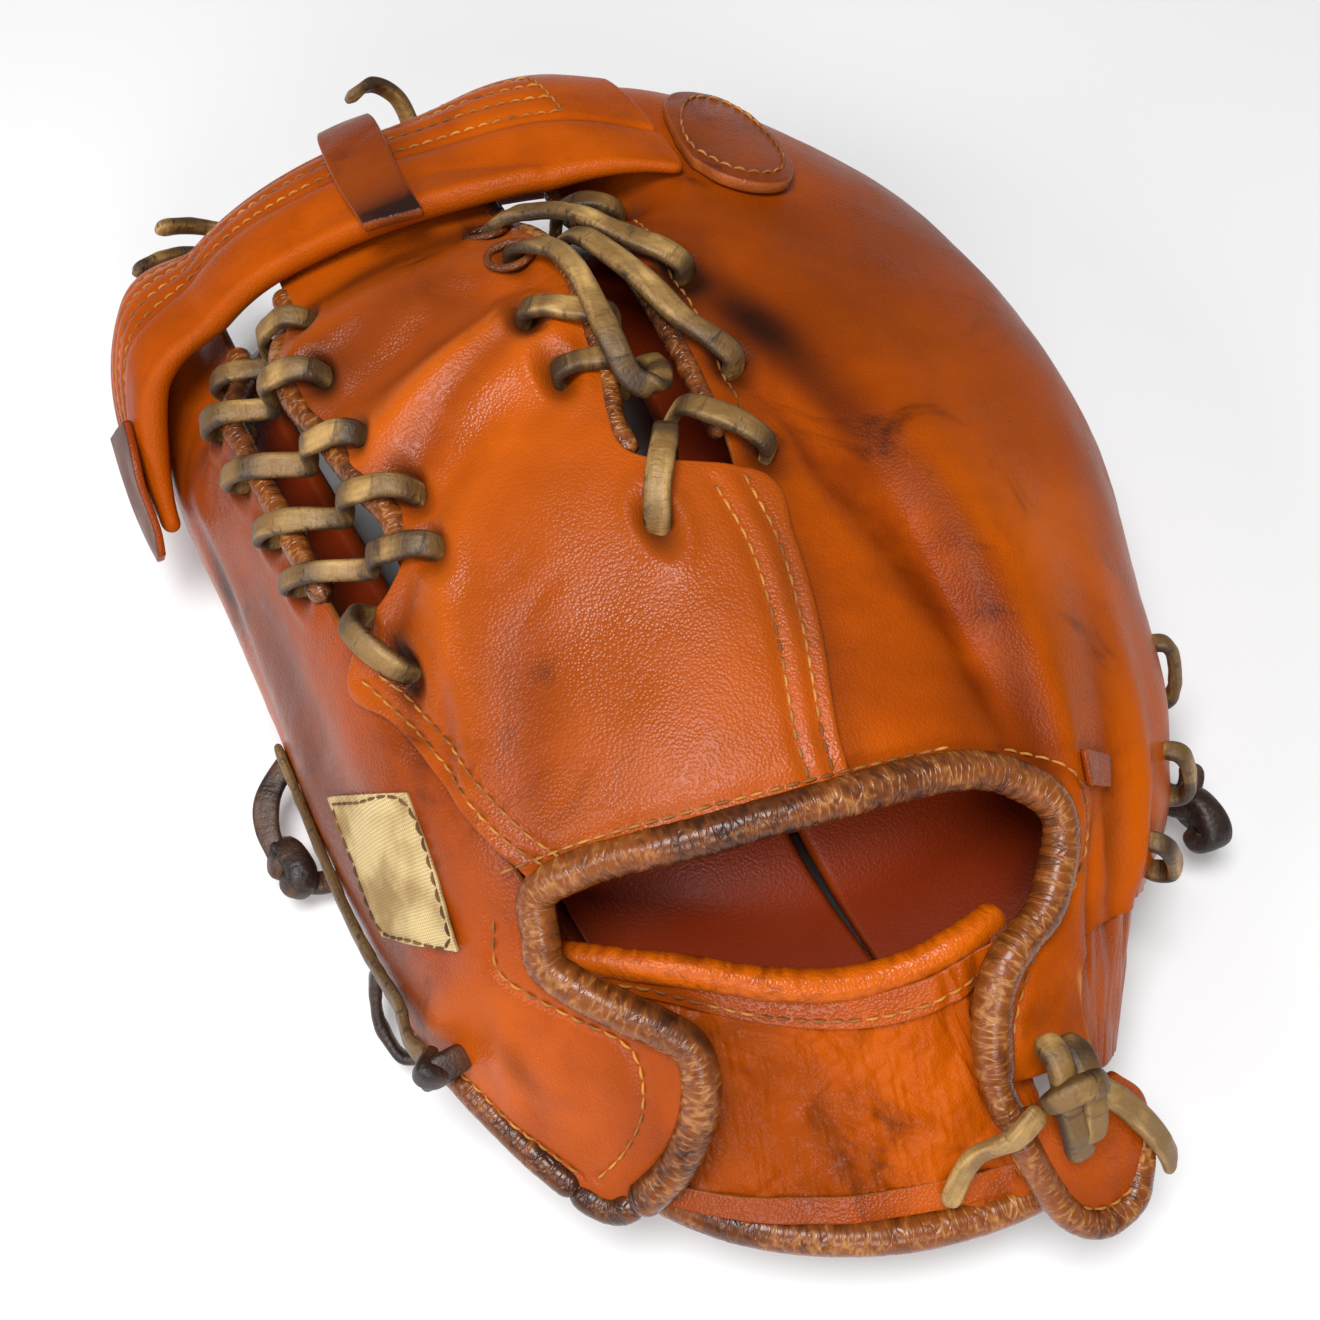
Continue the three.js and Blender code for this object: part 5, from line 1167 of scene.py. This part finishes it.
def fillPadding():
    scene = bpy.context.scene
    scene.frame_end = filling["frames"]
    for piece, held in padded:
        group = piece.vertex_groups.new(name="held")
        for weight in np.unique(held):
            group.add(np.flatnonzero(held == weight).tolist(), float(weight), "REPLACE")
        cloth = piece.modifiers.new("filling", "CLOTH")
        cloth.settings.quality = filling["quality"]
        cloth.settings.mass = filling["mass"]
        cloth.settings.bending_stiffness = filling["bending"]
        cloth.settings.vertex_group_mass = "held"
        cloth.settings.use_pressure = True
        cloth.settings.uniform_pressure_force = filling["pressure"]
        cloth.settings.effector_weights.gravity = 0
        cloth.collision_settings.use_collision = False
        cloth.point_cache.frame_end = filling["frames"]
    for frame in range(1, filling["frames"] + 1):
        scene.frame_set(frame)
    graph = bpy.context.evaluated_depsgraph_get()
    for piece, held in padded:
        start, end = placesOf(piece.data), placesOf(piece.evaluated_get(graph).data)
        way = end - start
        far = np.maximum(np.linalg.norm(way, axis=1, keepdims=True), 1e-9)
        end = start + way / far * filling["limit"] * np.tanh(far / filling["limit"])
        end[:, 2] = np.maximum(end[:, 2], 0)
        piece.modifiers.remove(piece.modifiers["filling"])
        piece.vertex_groups.remove(piece.vertex_groups["held"])
        piece.data.vertices.foreach_set("co", end.ravel())
        piece.data.update()
        print(piece.name, "filled, moved", *(round(float(x) * 1000, 3) for x in (far.mean(), far.max())), "mm")
    scene.frame_set(1)


def roundOff(piece):
    rounding = piece.modifiers.new("rounding", "SUBSURF")
    rounding.levels = rounding.render_levels = 1


# Palm: three padded slabs that meet in the pocket and part at the laced gaps

palmGaps = [  # fingerSide, middleLeft, middleRight, thumbSide at v = 0, 1, 2 ...
    (-.38, -.32, .08, .17), (-.4, -.36, .06, .1), (-.44, -.4, .02, .06), (-.5, -.45, 0, .05),
    (-.555, -.455, -.035, .085), (-.58, -.455, -.04, .085), (-.59, -.46, -.05, .1), (-.6, -.48, -.06, .12),
]
palms = {
    "fingerPalm": {"node": "palm_finger", "sides": lambda row: (np.full(len(row), -1.0), row[:, 0]), "columns": 44},
    "middlePalm": {"node": "palm_middle", "sides": lambda row: (row[:, 1], row[:, 2]), "columns": 40},
    "thumbPalm": {"node": "palm_thumb", "sides": lambda row: (row[:, 3], np.full(len(row), 1.0)), "columns": 70},
}
palmSeam = .0016  # how far a palm piece bulges out at a seam


def palmNormal(u, v):  # straight up and down at the heel and at the tips
    level = np.maximum(1 - smooth(.1, 1.5, v), smooth(5.7, 6.9, v))[..., None]
    return unit(normalOf(palm, u, v) * (1 - level) + np.array([0, 0, 1]) * level)


def rimShare(u, v):  # 0 in the pocket, 1 in the rolled rim at the sides, the heel and the tips
    return np.maximum(np.maximum(smooth(.7, .97, np.abs(u)), 1 - smooth(.05, .7, v)), smooth(6, 6.85, v))


def addPalm(name, slab):  # the palm's middle plus and minus half its thickness along its normal
    v = np.linspace(0, len(palmGaps) - 1, 110)[:, None]
    start, end = slab["sides"](between(palmGaps, v[:, 0]))
    u = start[:, None] + (end - start)[:, None] * np.linspace(0, 1, slab["columns"])[None]
    v = np.broadcast_to(v, u.shape)
    half = mitt["pocketHalf"] + (rimThickness(v) - mitt["pocketHalf"]) * rimShare(u, v)
    middle, lift = palm(u, v), palmNormal(u, v)
    x, y = middle[..., 0], middle[..., 1]
    puff = .0004 * cloud(x, y, 91, .02) - filling["slack"] * smooth(.1, .5, rimShare(u, v))
    top, bottom = middle + lift * (half + puff)[..., None], middle - lift * (half + puff * .5)[..., None]
    reach = half.copy()
    for column in (0, -1):
        if abs(u[0, column]) < 1:
            reach[:, column] = np.minimum(reach[:, column], palmSeam)
    hidden = .9 * (1 - smooth(.9, 1, np.abs(u)))
    values = {"inside": (hidden, 0, .5), "wear": (0, .4, .3), "stain": (.1, .15, .1), "edge": (0, 0, 0)}
    shell = slabShell(top, bottom, 8, reach, values)
    shell["points"][:, 2] = np.maximum(shell["points"][:, 2], 0)
    piece = addPiece(name, [shell], "padding", [slab["node"]])
    ridges = np.abs(cloud(x, y, 93, .014)) < .12
    held = np.maximum(1 - smooth(.1, .4, rimShare(u, v)), ridges * .75)
    for column in (0, -1):  # a side at a seam is held
        held[:, column] = np.where(np.abs(u[:, column]) < 1, 1, held[:, column])
    edge = np.zeros(len(shell["points"]) - 2 * held.size)
    waitForFilling(piece, np.concatenate([held.ravel(), held.ravel(), edge]))


for name, slab in palms.items():
    addPalm(name, slab)
print("palms made")


# Tip strap: a padded band over the tips, its keeper, its point and the round patch

tipStrapRows = [
    (-.9, 4.62, -.95, 4.85), (-.81, 4.95, -.97, 5.3), (-.68, 5.22, -.85, 5.85), (-.5, 5.28, -.56, 6.2),
    (-.3, 5.2, -.33, 6.22), (-.1, 5.1, -.1, 6.2), (.08, 5.02, .1, 6.02), (.2, 4.88, .235, 5.74),
]
tipStrap = {
    "thick": .007, "level": -.0018,       # its middle's height in the groove
    "climbLeft": .0086, "climbRight": .0062,
    "quilting": (.42, .56, .7, .84),      # stitch rows, as shares of the strap's width
    "quiltDepth": .0007, "quiltWidth": .022,
    "roll": .34, "rollAt": .16, "rollWidth": .17, "flat": .84,
    "crease": .36, "creaseDepth": .0009, "creaseWidth": .025,
    "endLoss": .6, "stitched": (.17, .88),  # shares of its length
}


def tipStrapHeight(u, v):  # the band climbs onto the finger lobe at its left end and onto the thumb lobe at its right
    point = tipStrap["climbLeft"] * (1 - smooth(4.75, 5.3, v)) * (1 - smooth(.02, .1, u))
    left, right = tipStrap["climbLeft"] * smooth(.56, .74, -u), tipStrap["climbRight"] * smooth(-.12, .18, u)
    return tipStrap["level"] + np.maximum(np.maximum(point, left), right)


def tipStrapPlaces(t, s):  # u, v at the share t of the strap's length and s of its width
    row = between(tipStrapRows, t * (len(tipStrapRows) - 1))
    u = row[..., 0] + (row[..., 2] - row[..., 0]) * s
    v = row[..., 1] + (row[..., 3] - row[..., 1]) * s
    return u, v


def tipStrapHalf(t, s):  # a round roll along the lower edge, then a flatter part quilted along its stitch rows
    half = tipStrap["thick"] / 2 * (.55 + .45 * smooth(0, .16, t)) * (1 - tipStrap["endLoss"] * smooth(.8, 1, t))
    roll = tipStrap["roll"] * np.exp(-(((s - tipStrap["rollAt"]) / tipStrap["rollWidth"]) ** 4))
    crease = tipStrap["creaseDepth"] * bell((s - tipStrap["crease"]) / tipStrap["creaseWidth"])
    half = half * (tipStrap["flat"] + roll) - crease * smooth(.1, .2, t)
    for share in tipStrap["quilting"]:
        channel = tipStrap["quiltDepth"] * bell((s - share) / tipStrap["quiltWidth"])
        half = half - channel * smooth(.12, .2, t) * smooth(.9, .84, t)
    return half


def addTipStrap():  # the strap's middle plus and minus half its thickness along the skin's normal
    t, s = np.meshgrid(np.linspace(0, 1, 180), np.linspace(0, 1, 51), indexing="ij")
    u, v = tipStrapPlaces(t, s)
    half = tipStrapHalf(t, s)
    middle, lift = onSkin(u, v, tipStrapHeight(u, v)), normalOf(skin, u, v)
    values = {"stain": (.1 * smooth(.2, 0, t), .2, .15), "wear": (.3, 0, .5), "inside": (0, .4, 0), "edge": (0, 0, 0)}
    shell = slabShell(middle + lift * half[..., None], middle - lift * half[..., None], 7, half * .95, values)
    piece = addPiece("tipStrap", [shell], "dullLeather", ["tip_strap"])
    rows = (tipStrap["crease"], *tipStrap["quilting"])
    held = np.max([np.abs(s - share) < .012 for share in rows], axis=0).astype(float)
    held = np.maximum(held, np.maximum(1 - smooth(0, .04, t), smooth(.97, 1, t)))
    edge = np.zeros(len(shell["points"]) - 2 * held.size)
    waitForFilling(piece, np.concatenate([held.ravel(), np.ones(held.size), edge]))


addTipStrap()
fillPadding()
for piece, held in padded:
    roundOff(piece)
print("padding filled")

strapTop = tipStrap["level"] + tipStrap["thick"] / 2 + 3 * mitt["gap"]
tipPatch = {
    "rows": [(.228, 4.93, .238, 5.14), (.248, 4.78, .268, 5.4), (.288, 4.71, .312, 5.56), (.335, 4.74, .362, 5.62),
             (.374, 4.9, .402, 5.58), (.4, 5.12, .42, 5.42)],
    "lines": 90, "columns": 80, "height": mitt["leather"] + mitt["gap"], "thick": .0026, "seed": 24,
    "dirt": .3, "raw": .3,
}
tipKeeper = {
    "rows": [(-.235, 5, -.15, 4.95), (-.24, 5.35, -.15, 5.3), (-.235, 5.74, -.14, 5.72), (-.225, 6.02, -.14, 6.0)],
    "lines": 90, "columns": 30, "height": strapTop + .001, "thick": .0024, "seed": 25, "dirt": .5, "raw": .1,
}
tipPoint = {
    "rows": [(-.79, 5.1, -.89, 5.32), (-.81, 4.86, -.93, 5.02), (-.87, 4.62, -.95, 4.72), (-.92, 4.5, -.94, 4.52)],
    "lines": 60, "columns": 30, "height": strapTop, "thick": .002, "seed": 26, "raw": 0, "dirt": .75,
}


def pointPlace(u, v, height):  # follows the strap's climb
    return onSkin(u, v, height + tipStrapHeight(u, v) - tipStrap["level"])


addPanel("tipPatch", tipPatch, "thumb_tip_patch")
addPanel("tipKeeper", tipKeeper, "tip_strap_keeper", onSkin)
addPanel("tipPoint", tipPoint, "tip_strap_point", pointPlace, "leather")

# Leather rims of the two big eyelets beside the thumb gap
eyeletRims = {
    "places": [(-.072, 4.86), (-.067, 4.54)], "length": .0056, "width": .0038, "tube": .0009, "height": .0058,
    "steps": 41, "sides": 10,
}


def addEyeletRims():  # a thin tube carried round an ellipse on the leather
    angle = np.linspace(0, 2 * np.pi, eyeletRims["steps"])
    turn = np.arange(eyeletRims["sides"]) * 2 * np.pi / eyeletRims["sides"]
    section = np.stack([np.cos(turn), np.sin(turn)], -1) * eyeletRims["tube"]
    long, wide = eyeletRims["length"] / mitt["acrossScale"], eyeletRims["width"] / mitt["alongScale"]
    shells = []
    for u, v in eyeletRims["places"]:
        around = onLobe(u + long * np.cos(angle), v + wide * np.sin(angle), eyeletRims["height"])
        shells.append(bandShell(around, normalOf(skin, u, v), section, {"wear": .3, "inside": 0}))
    addPiece("eyeletRims", shells, "binding")


addEyeletRims()

# Small pieces on the back
labelPatch = {
    "rows": [(-.805, 2.74, -.56, 2.52), (-.8, 2.34, -.57, 2.14), (-.79, 1.95, -.583, 1.78)],
    "lines": 60, "columns": 50, "height": mitt["leather"] + 2 * mitt["gap"], "thick": .0009, "seed": 27,
}
slitStrip = {
    "rows": [(.41, 1.95, .415, 1.79), (.495, 1.92, .492, 1.77)],
    "lines": 30, "columns": 12, "height": mitt["leather"] + 3 * mitt["gap"], "thick": .0014, "seed": 28,
    "dirt": .45, "raw": 0,
}
label = addPanel("label", labelPatch, "label_patch", onLobe, "cloth")
addPanel("slitThong", slitStrip, "slit_strip", onLobe, "leather")
print("tip strap, patches and label made")


# Turned edges of the wrist strap beside its two rolls; the upper one gets a stitch row with the other stitches

turnedEdges = {
    "turnedTop": {
        "rows": [(-.46, 1.46, -.46, 1.32), (-.38, 1.36, -.38, 1.2), (-.3, 1.2, -.3, 1.05), (-.19, 1.03, -.19, .89),
                 (-.08, .95, -.08, .81), (.03, .96, .03, .82), (.12, 1, .12, .86), (.2, 1.04, .2, .9)],
        "lines": 200, "columns": 24, "height": .00255, "thick": .0008, "seed": 33,
    },
    "turnedBottom": {
        "rows": [(-.5, .22, -.5, .33), (-.4, .15, -.4, .25), (-.25, .08, -.25, .19), (-.1, .06, -.1, .17),
                 (.03, .07, .03, .17), (.13, .11, .13, .2)],
        "lines": 180, "columns": 20, "height": .00255, "thick": .0008, "seed": 34,
    },
}
for name, piece in turnedEdges.items():
    addPanel(name, piece, None, strapPlace)


# Stitches: a short bent capsule each, half sunk in the leather

stitch = {"length": .0031, "pitch": .0034, "radius": .00034, "lift": .0001}


def stitchShell(start, end, up, rings=6, sides=6):  # rings round the way from start to end, sunk at both ends
    along = np.linspace(-1, 1, rings)
    around = np.arange(sides) * 2 * np.pi / sides
    width = stitch["radius"] * np.sqrt(1 - (along * .93) ** 2)
    arc = stitch["radius"] * (.9 - 1.5 * along**2)
    way = (end - start) / 2
    side = unit(np.cross(way, up))
    middle = (start + end) / 2
    ring = (middle[:, None] + way[:, None] * along[None, :, None] + up[:, None] * arc[None, :, None])[:, :, None]
    ring = ring + side[:, None, None] * (np.cos(around)[None, None, :, None] * width[None, :, None, None])
    ring = ring + up[:, None, None] * (np.sin(around)[None, None, :, None] * width[None, :, None, None])
    first = np.arange(len(start))[:, None] * rings * sides
    quads = (gridFaces(rings, sides, wrap=True)[None] + first[..., None]).reshape(-1, 4)
    caps = np.concatenate([first + np.arange(sides)[::-1], first + (rings - 1) * sides + np.arange(sides)])
    return {"points": ring.reshape(-1, 3), "quads": quads, "caps": list(caps)}


def stitchesOn(path, up):  # path lies on the leather, up points away from it
    along = stepsOf(path)
    count = max(int(along[-1] / stitch["pitch"]), 1)
    starts = (np.arange(count) + .1) * along[-1] / count

    def at(values, where):
        return np.stack([np.interp(where, along, values[:, k]) for k in range(3)], 1)

    lift = unit(at(up, starts))
    ends = starts + stitch["length"]
    return stitchShell(at(path, starts) + lift * stitch["lift"], at(path, ends) + lift * stitch["lift"], lift)


def stitchRow(line, height, place=onLobe):  # height is the surface's own height at u, v
    run = overSkin([(u, v, 0) for u, v in line], 60 * len(line), place)[1]
    u, v = run[:, 0], run[:, 1]
    return stitchesOn(place(u, v, height(u, v)), normalOf(skin, u, v))


def surfaceOf(piece):
    return lambda u, v: panelTop(u, v, piece)


def seamRows(piece, *keys):
    return [stitchRow(seams[key], surfaceOf(piece)) for key in keys]


def strapStitches(t, s):  # a row on top of the tip strap, through the shares t of its length and s of its width
    u, v = tipStrapPlaces(t, s)
    up = normalOf(skin, u, v)
    return stitchesOn(onSkin(u, v, tipStrapHeight(u, v)) + up * tipStrapHalf(t, s)[:, None], up)


def strapRows():  # four rows along the strap and one across their end
    first, last = tipStrap["stitched"]
    rows = tipStrap["quilting"]
    lengthwise = [strapStitches(np.linspace(first, last, 500), np.full(500, share)) for share in rows]
    return lengthwise + [strapStitches(np.full(60, last), np.linspace(rows[0], rows[-1], 60))]


turnedTopLine = [(-.45, 1.36), (-.37, 1.25), (-.3, 1.1), (-.19, .93), (-.08, .85), (.03, .86), (.12, .9), (.17, .93)]
tabStitchLine = [(.062, .36), (.07, .18), (.09, .05), (.15, -.03), (.26, -.07), (.36, -.04), (.41, .06), (.42, .2)]
patchLine = [(.241, 4.99), (.262, 4.84), (.3, 4.78), (.338, 4.82), (.372, 4.97), (.396, 5.2), (.406, 5.42),
             (.392, 5.54), (.355, 5.55), (.31, 5.45), (.268, 5.28), (.246, 5.12), (.241, 5)]
stitching = {
    "fingerSeamStitches": seamRows(backMiddle, "fingerSeamOuter", "fingerSeamInner"),
    "thumbSeamStitches": seamRows(backMiddle, "thumbSeamOuter", "thumbSeamInner"),
    "openingStitches": [stitchRow(seams["openingTop"][:-1], surfaceOf(backMiddle))]
    + seamRows(backThumb, "openingRight"),
    "flapStitches": seamRows(backFinger, "flap", "hem"),
    "thumbGapStitches": seamRows(backThumb, "thumbGap"),
    "patchStitches": [stitchRow(patchLine, surfaceOf(tipPatch))],
    "strapStitches": strapRows(),
    "turnedStitches": [stitchRow(turnedTopLine, surfaceOf(turnedEdges["turnedTop"]), strapPlace)],
    "tabStitches": [stitchRow(tabStitchLine, surfaceOf(thumbTab), tabPlace)],
}
for name, rows in stitching.items():
    addPiece(name, rows, "thread")
labelStitchLine = [(-.795, 2.68), (-.795, 2.4), (-.785, 2.0), (-.69, 1.9), (-.592, 1.82), (-.578, 2.1), (-.568, 2.48),
                   (-.69, 2.6), (-.79, 2.69)]
addPiece("labelStitches", [stitchRow(labelStitchLine, surfaceOf(labelPatch))], "darkThread")
print("stitches made")


# Floor and soft studio light

floor = {"half": 3, "level": -.0003, "colour": tone(240, 240, 241), "roughness": .7}
lamps = [  # name, place, size, power
    ("overhead", (-.22, -.2, 1.2), .45, 12.5), ("window", (-1.1, -.3, .8), .5, 6),
    ("front", (-.2, -1.2, .8), .5, 6.5),
]
sky = {"colour": tone(246, 246, 246), "strength": .22}


def addFloor():
    mesh = bpy.data.meshes.new("floor")
    h, z = floor["half"], floor["level"]
    mesh.from_pydata([(-h, -h, z), (h, -h, z), (h, h, z), (-h, h, z)], [], [(0, 1, 2, 3)])
    material, tree, shader = newMaterial("floor")
    connect(floor["colour"], shader, "Base Color")
    connect(floor["roughness"], shader, "Roughness")
    mesh.materials.append(material)
    plane = bpy.data.objects.new("floor", mesh)
    bpy.context.scene.collection.objects.link(plane)


def addLamps():
    for name, place, size, power in lamps:
        data = bpy.data.lights.new(name, "AREA")
        data.energy, data.size = power, size
        lamp = bpy.data.objects.new(name, data)
        lamp.location = place
        lamp.rotation_euler = (-Vector(place)).to_track_quat("-Z", "Y").to_euler()
        bpy.context.scene.collection.objects.link(lamp)
    world = bpy.data.worlds.new("sky")
    world.use_nodes = True
    background = world.node_tree.nodes["Background"]
    connect(sky["colour"], background, "Color")
    connect(sky["strength"], background, "Strength")
    bpy.context.scene.world = world


addFloor()
addLamps()
bpy.context.scene.view_settings.view_transform = "Standard"
print("floor and light set")
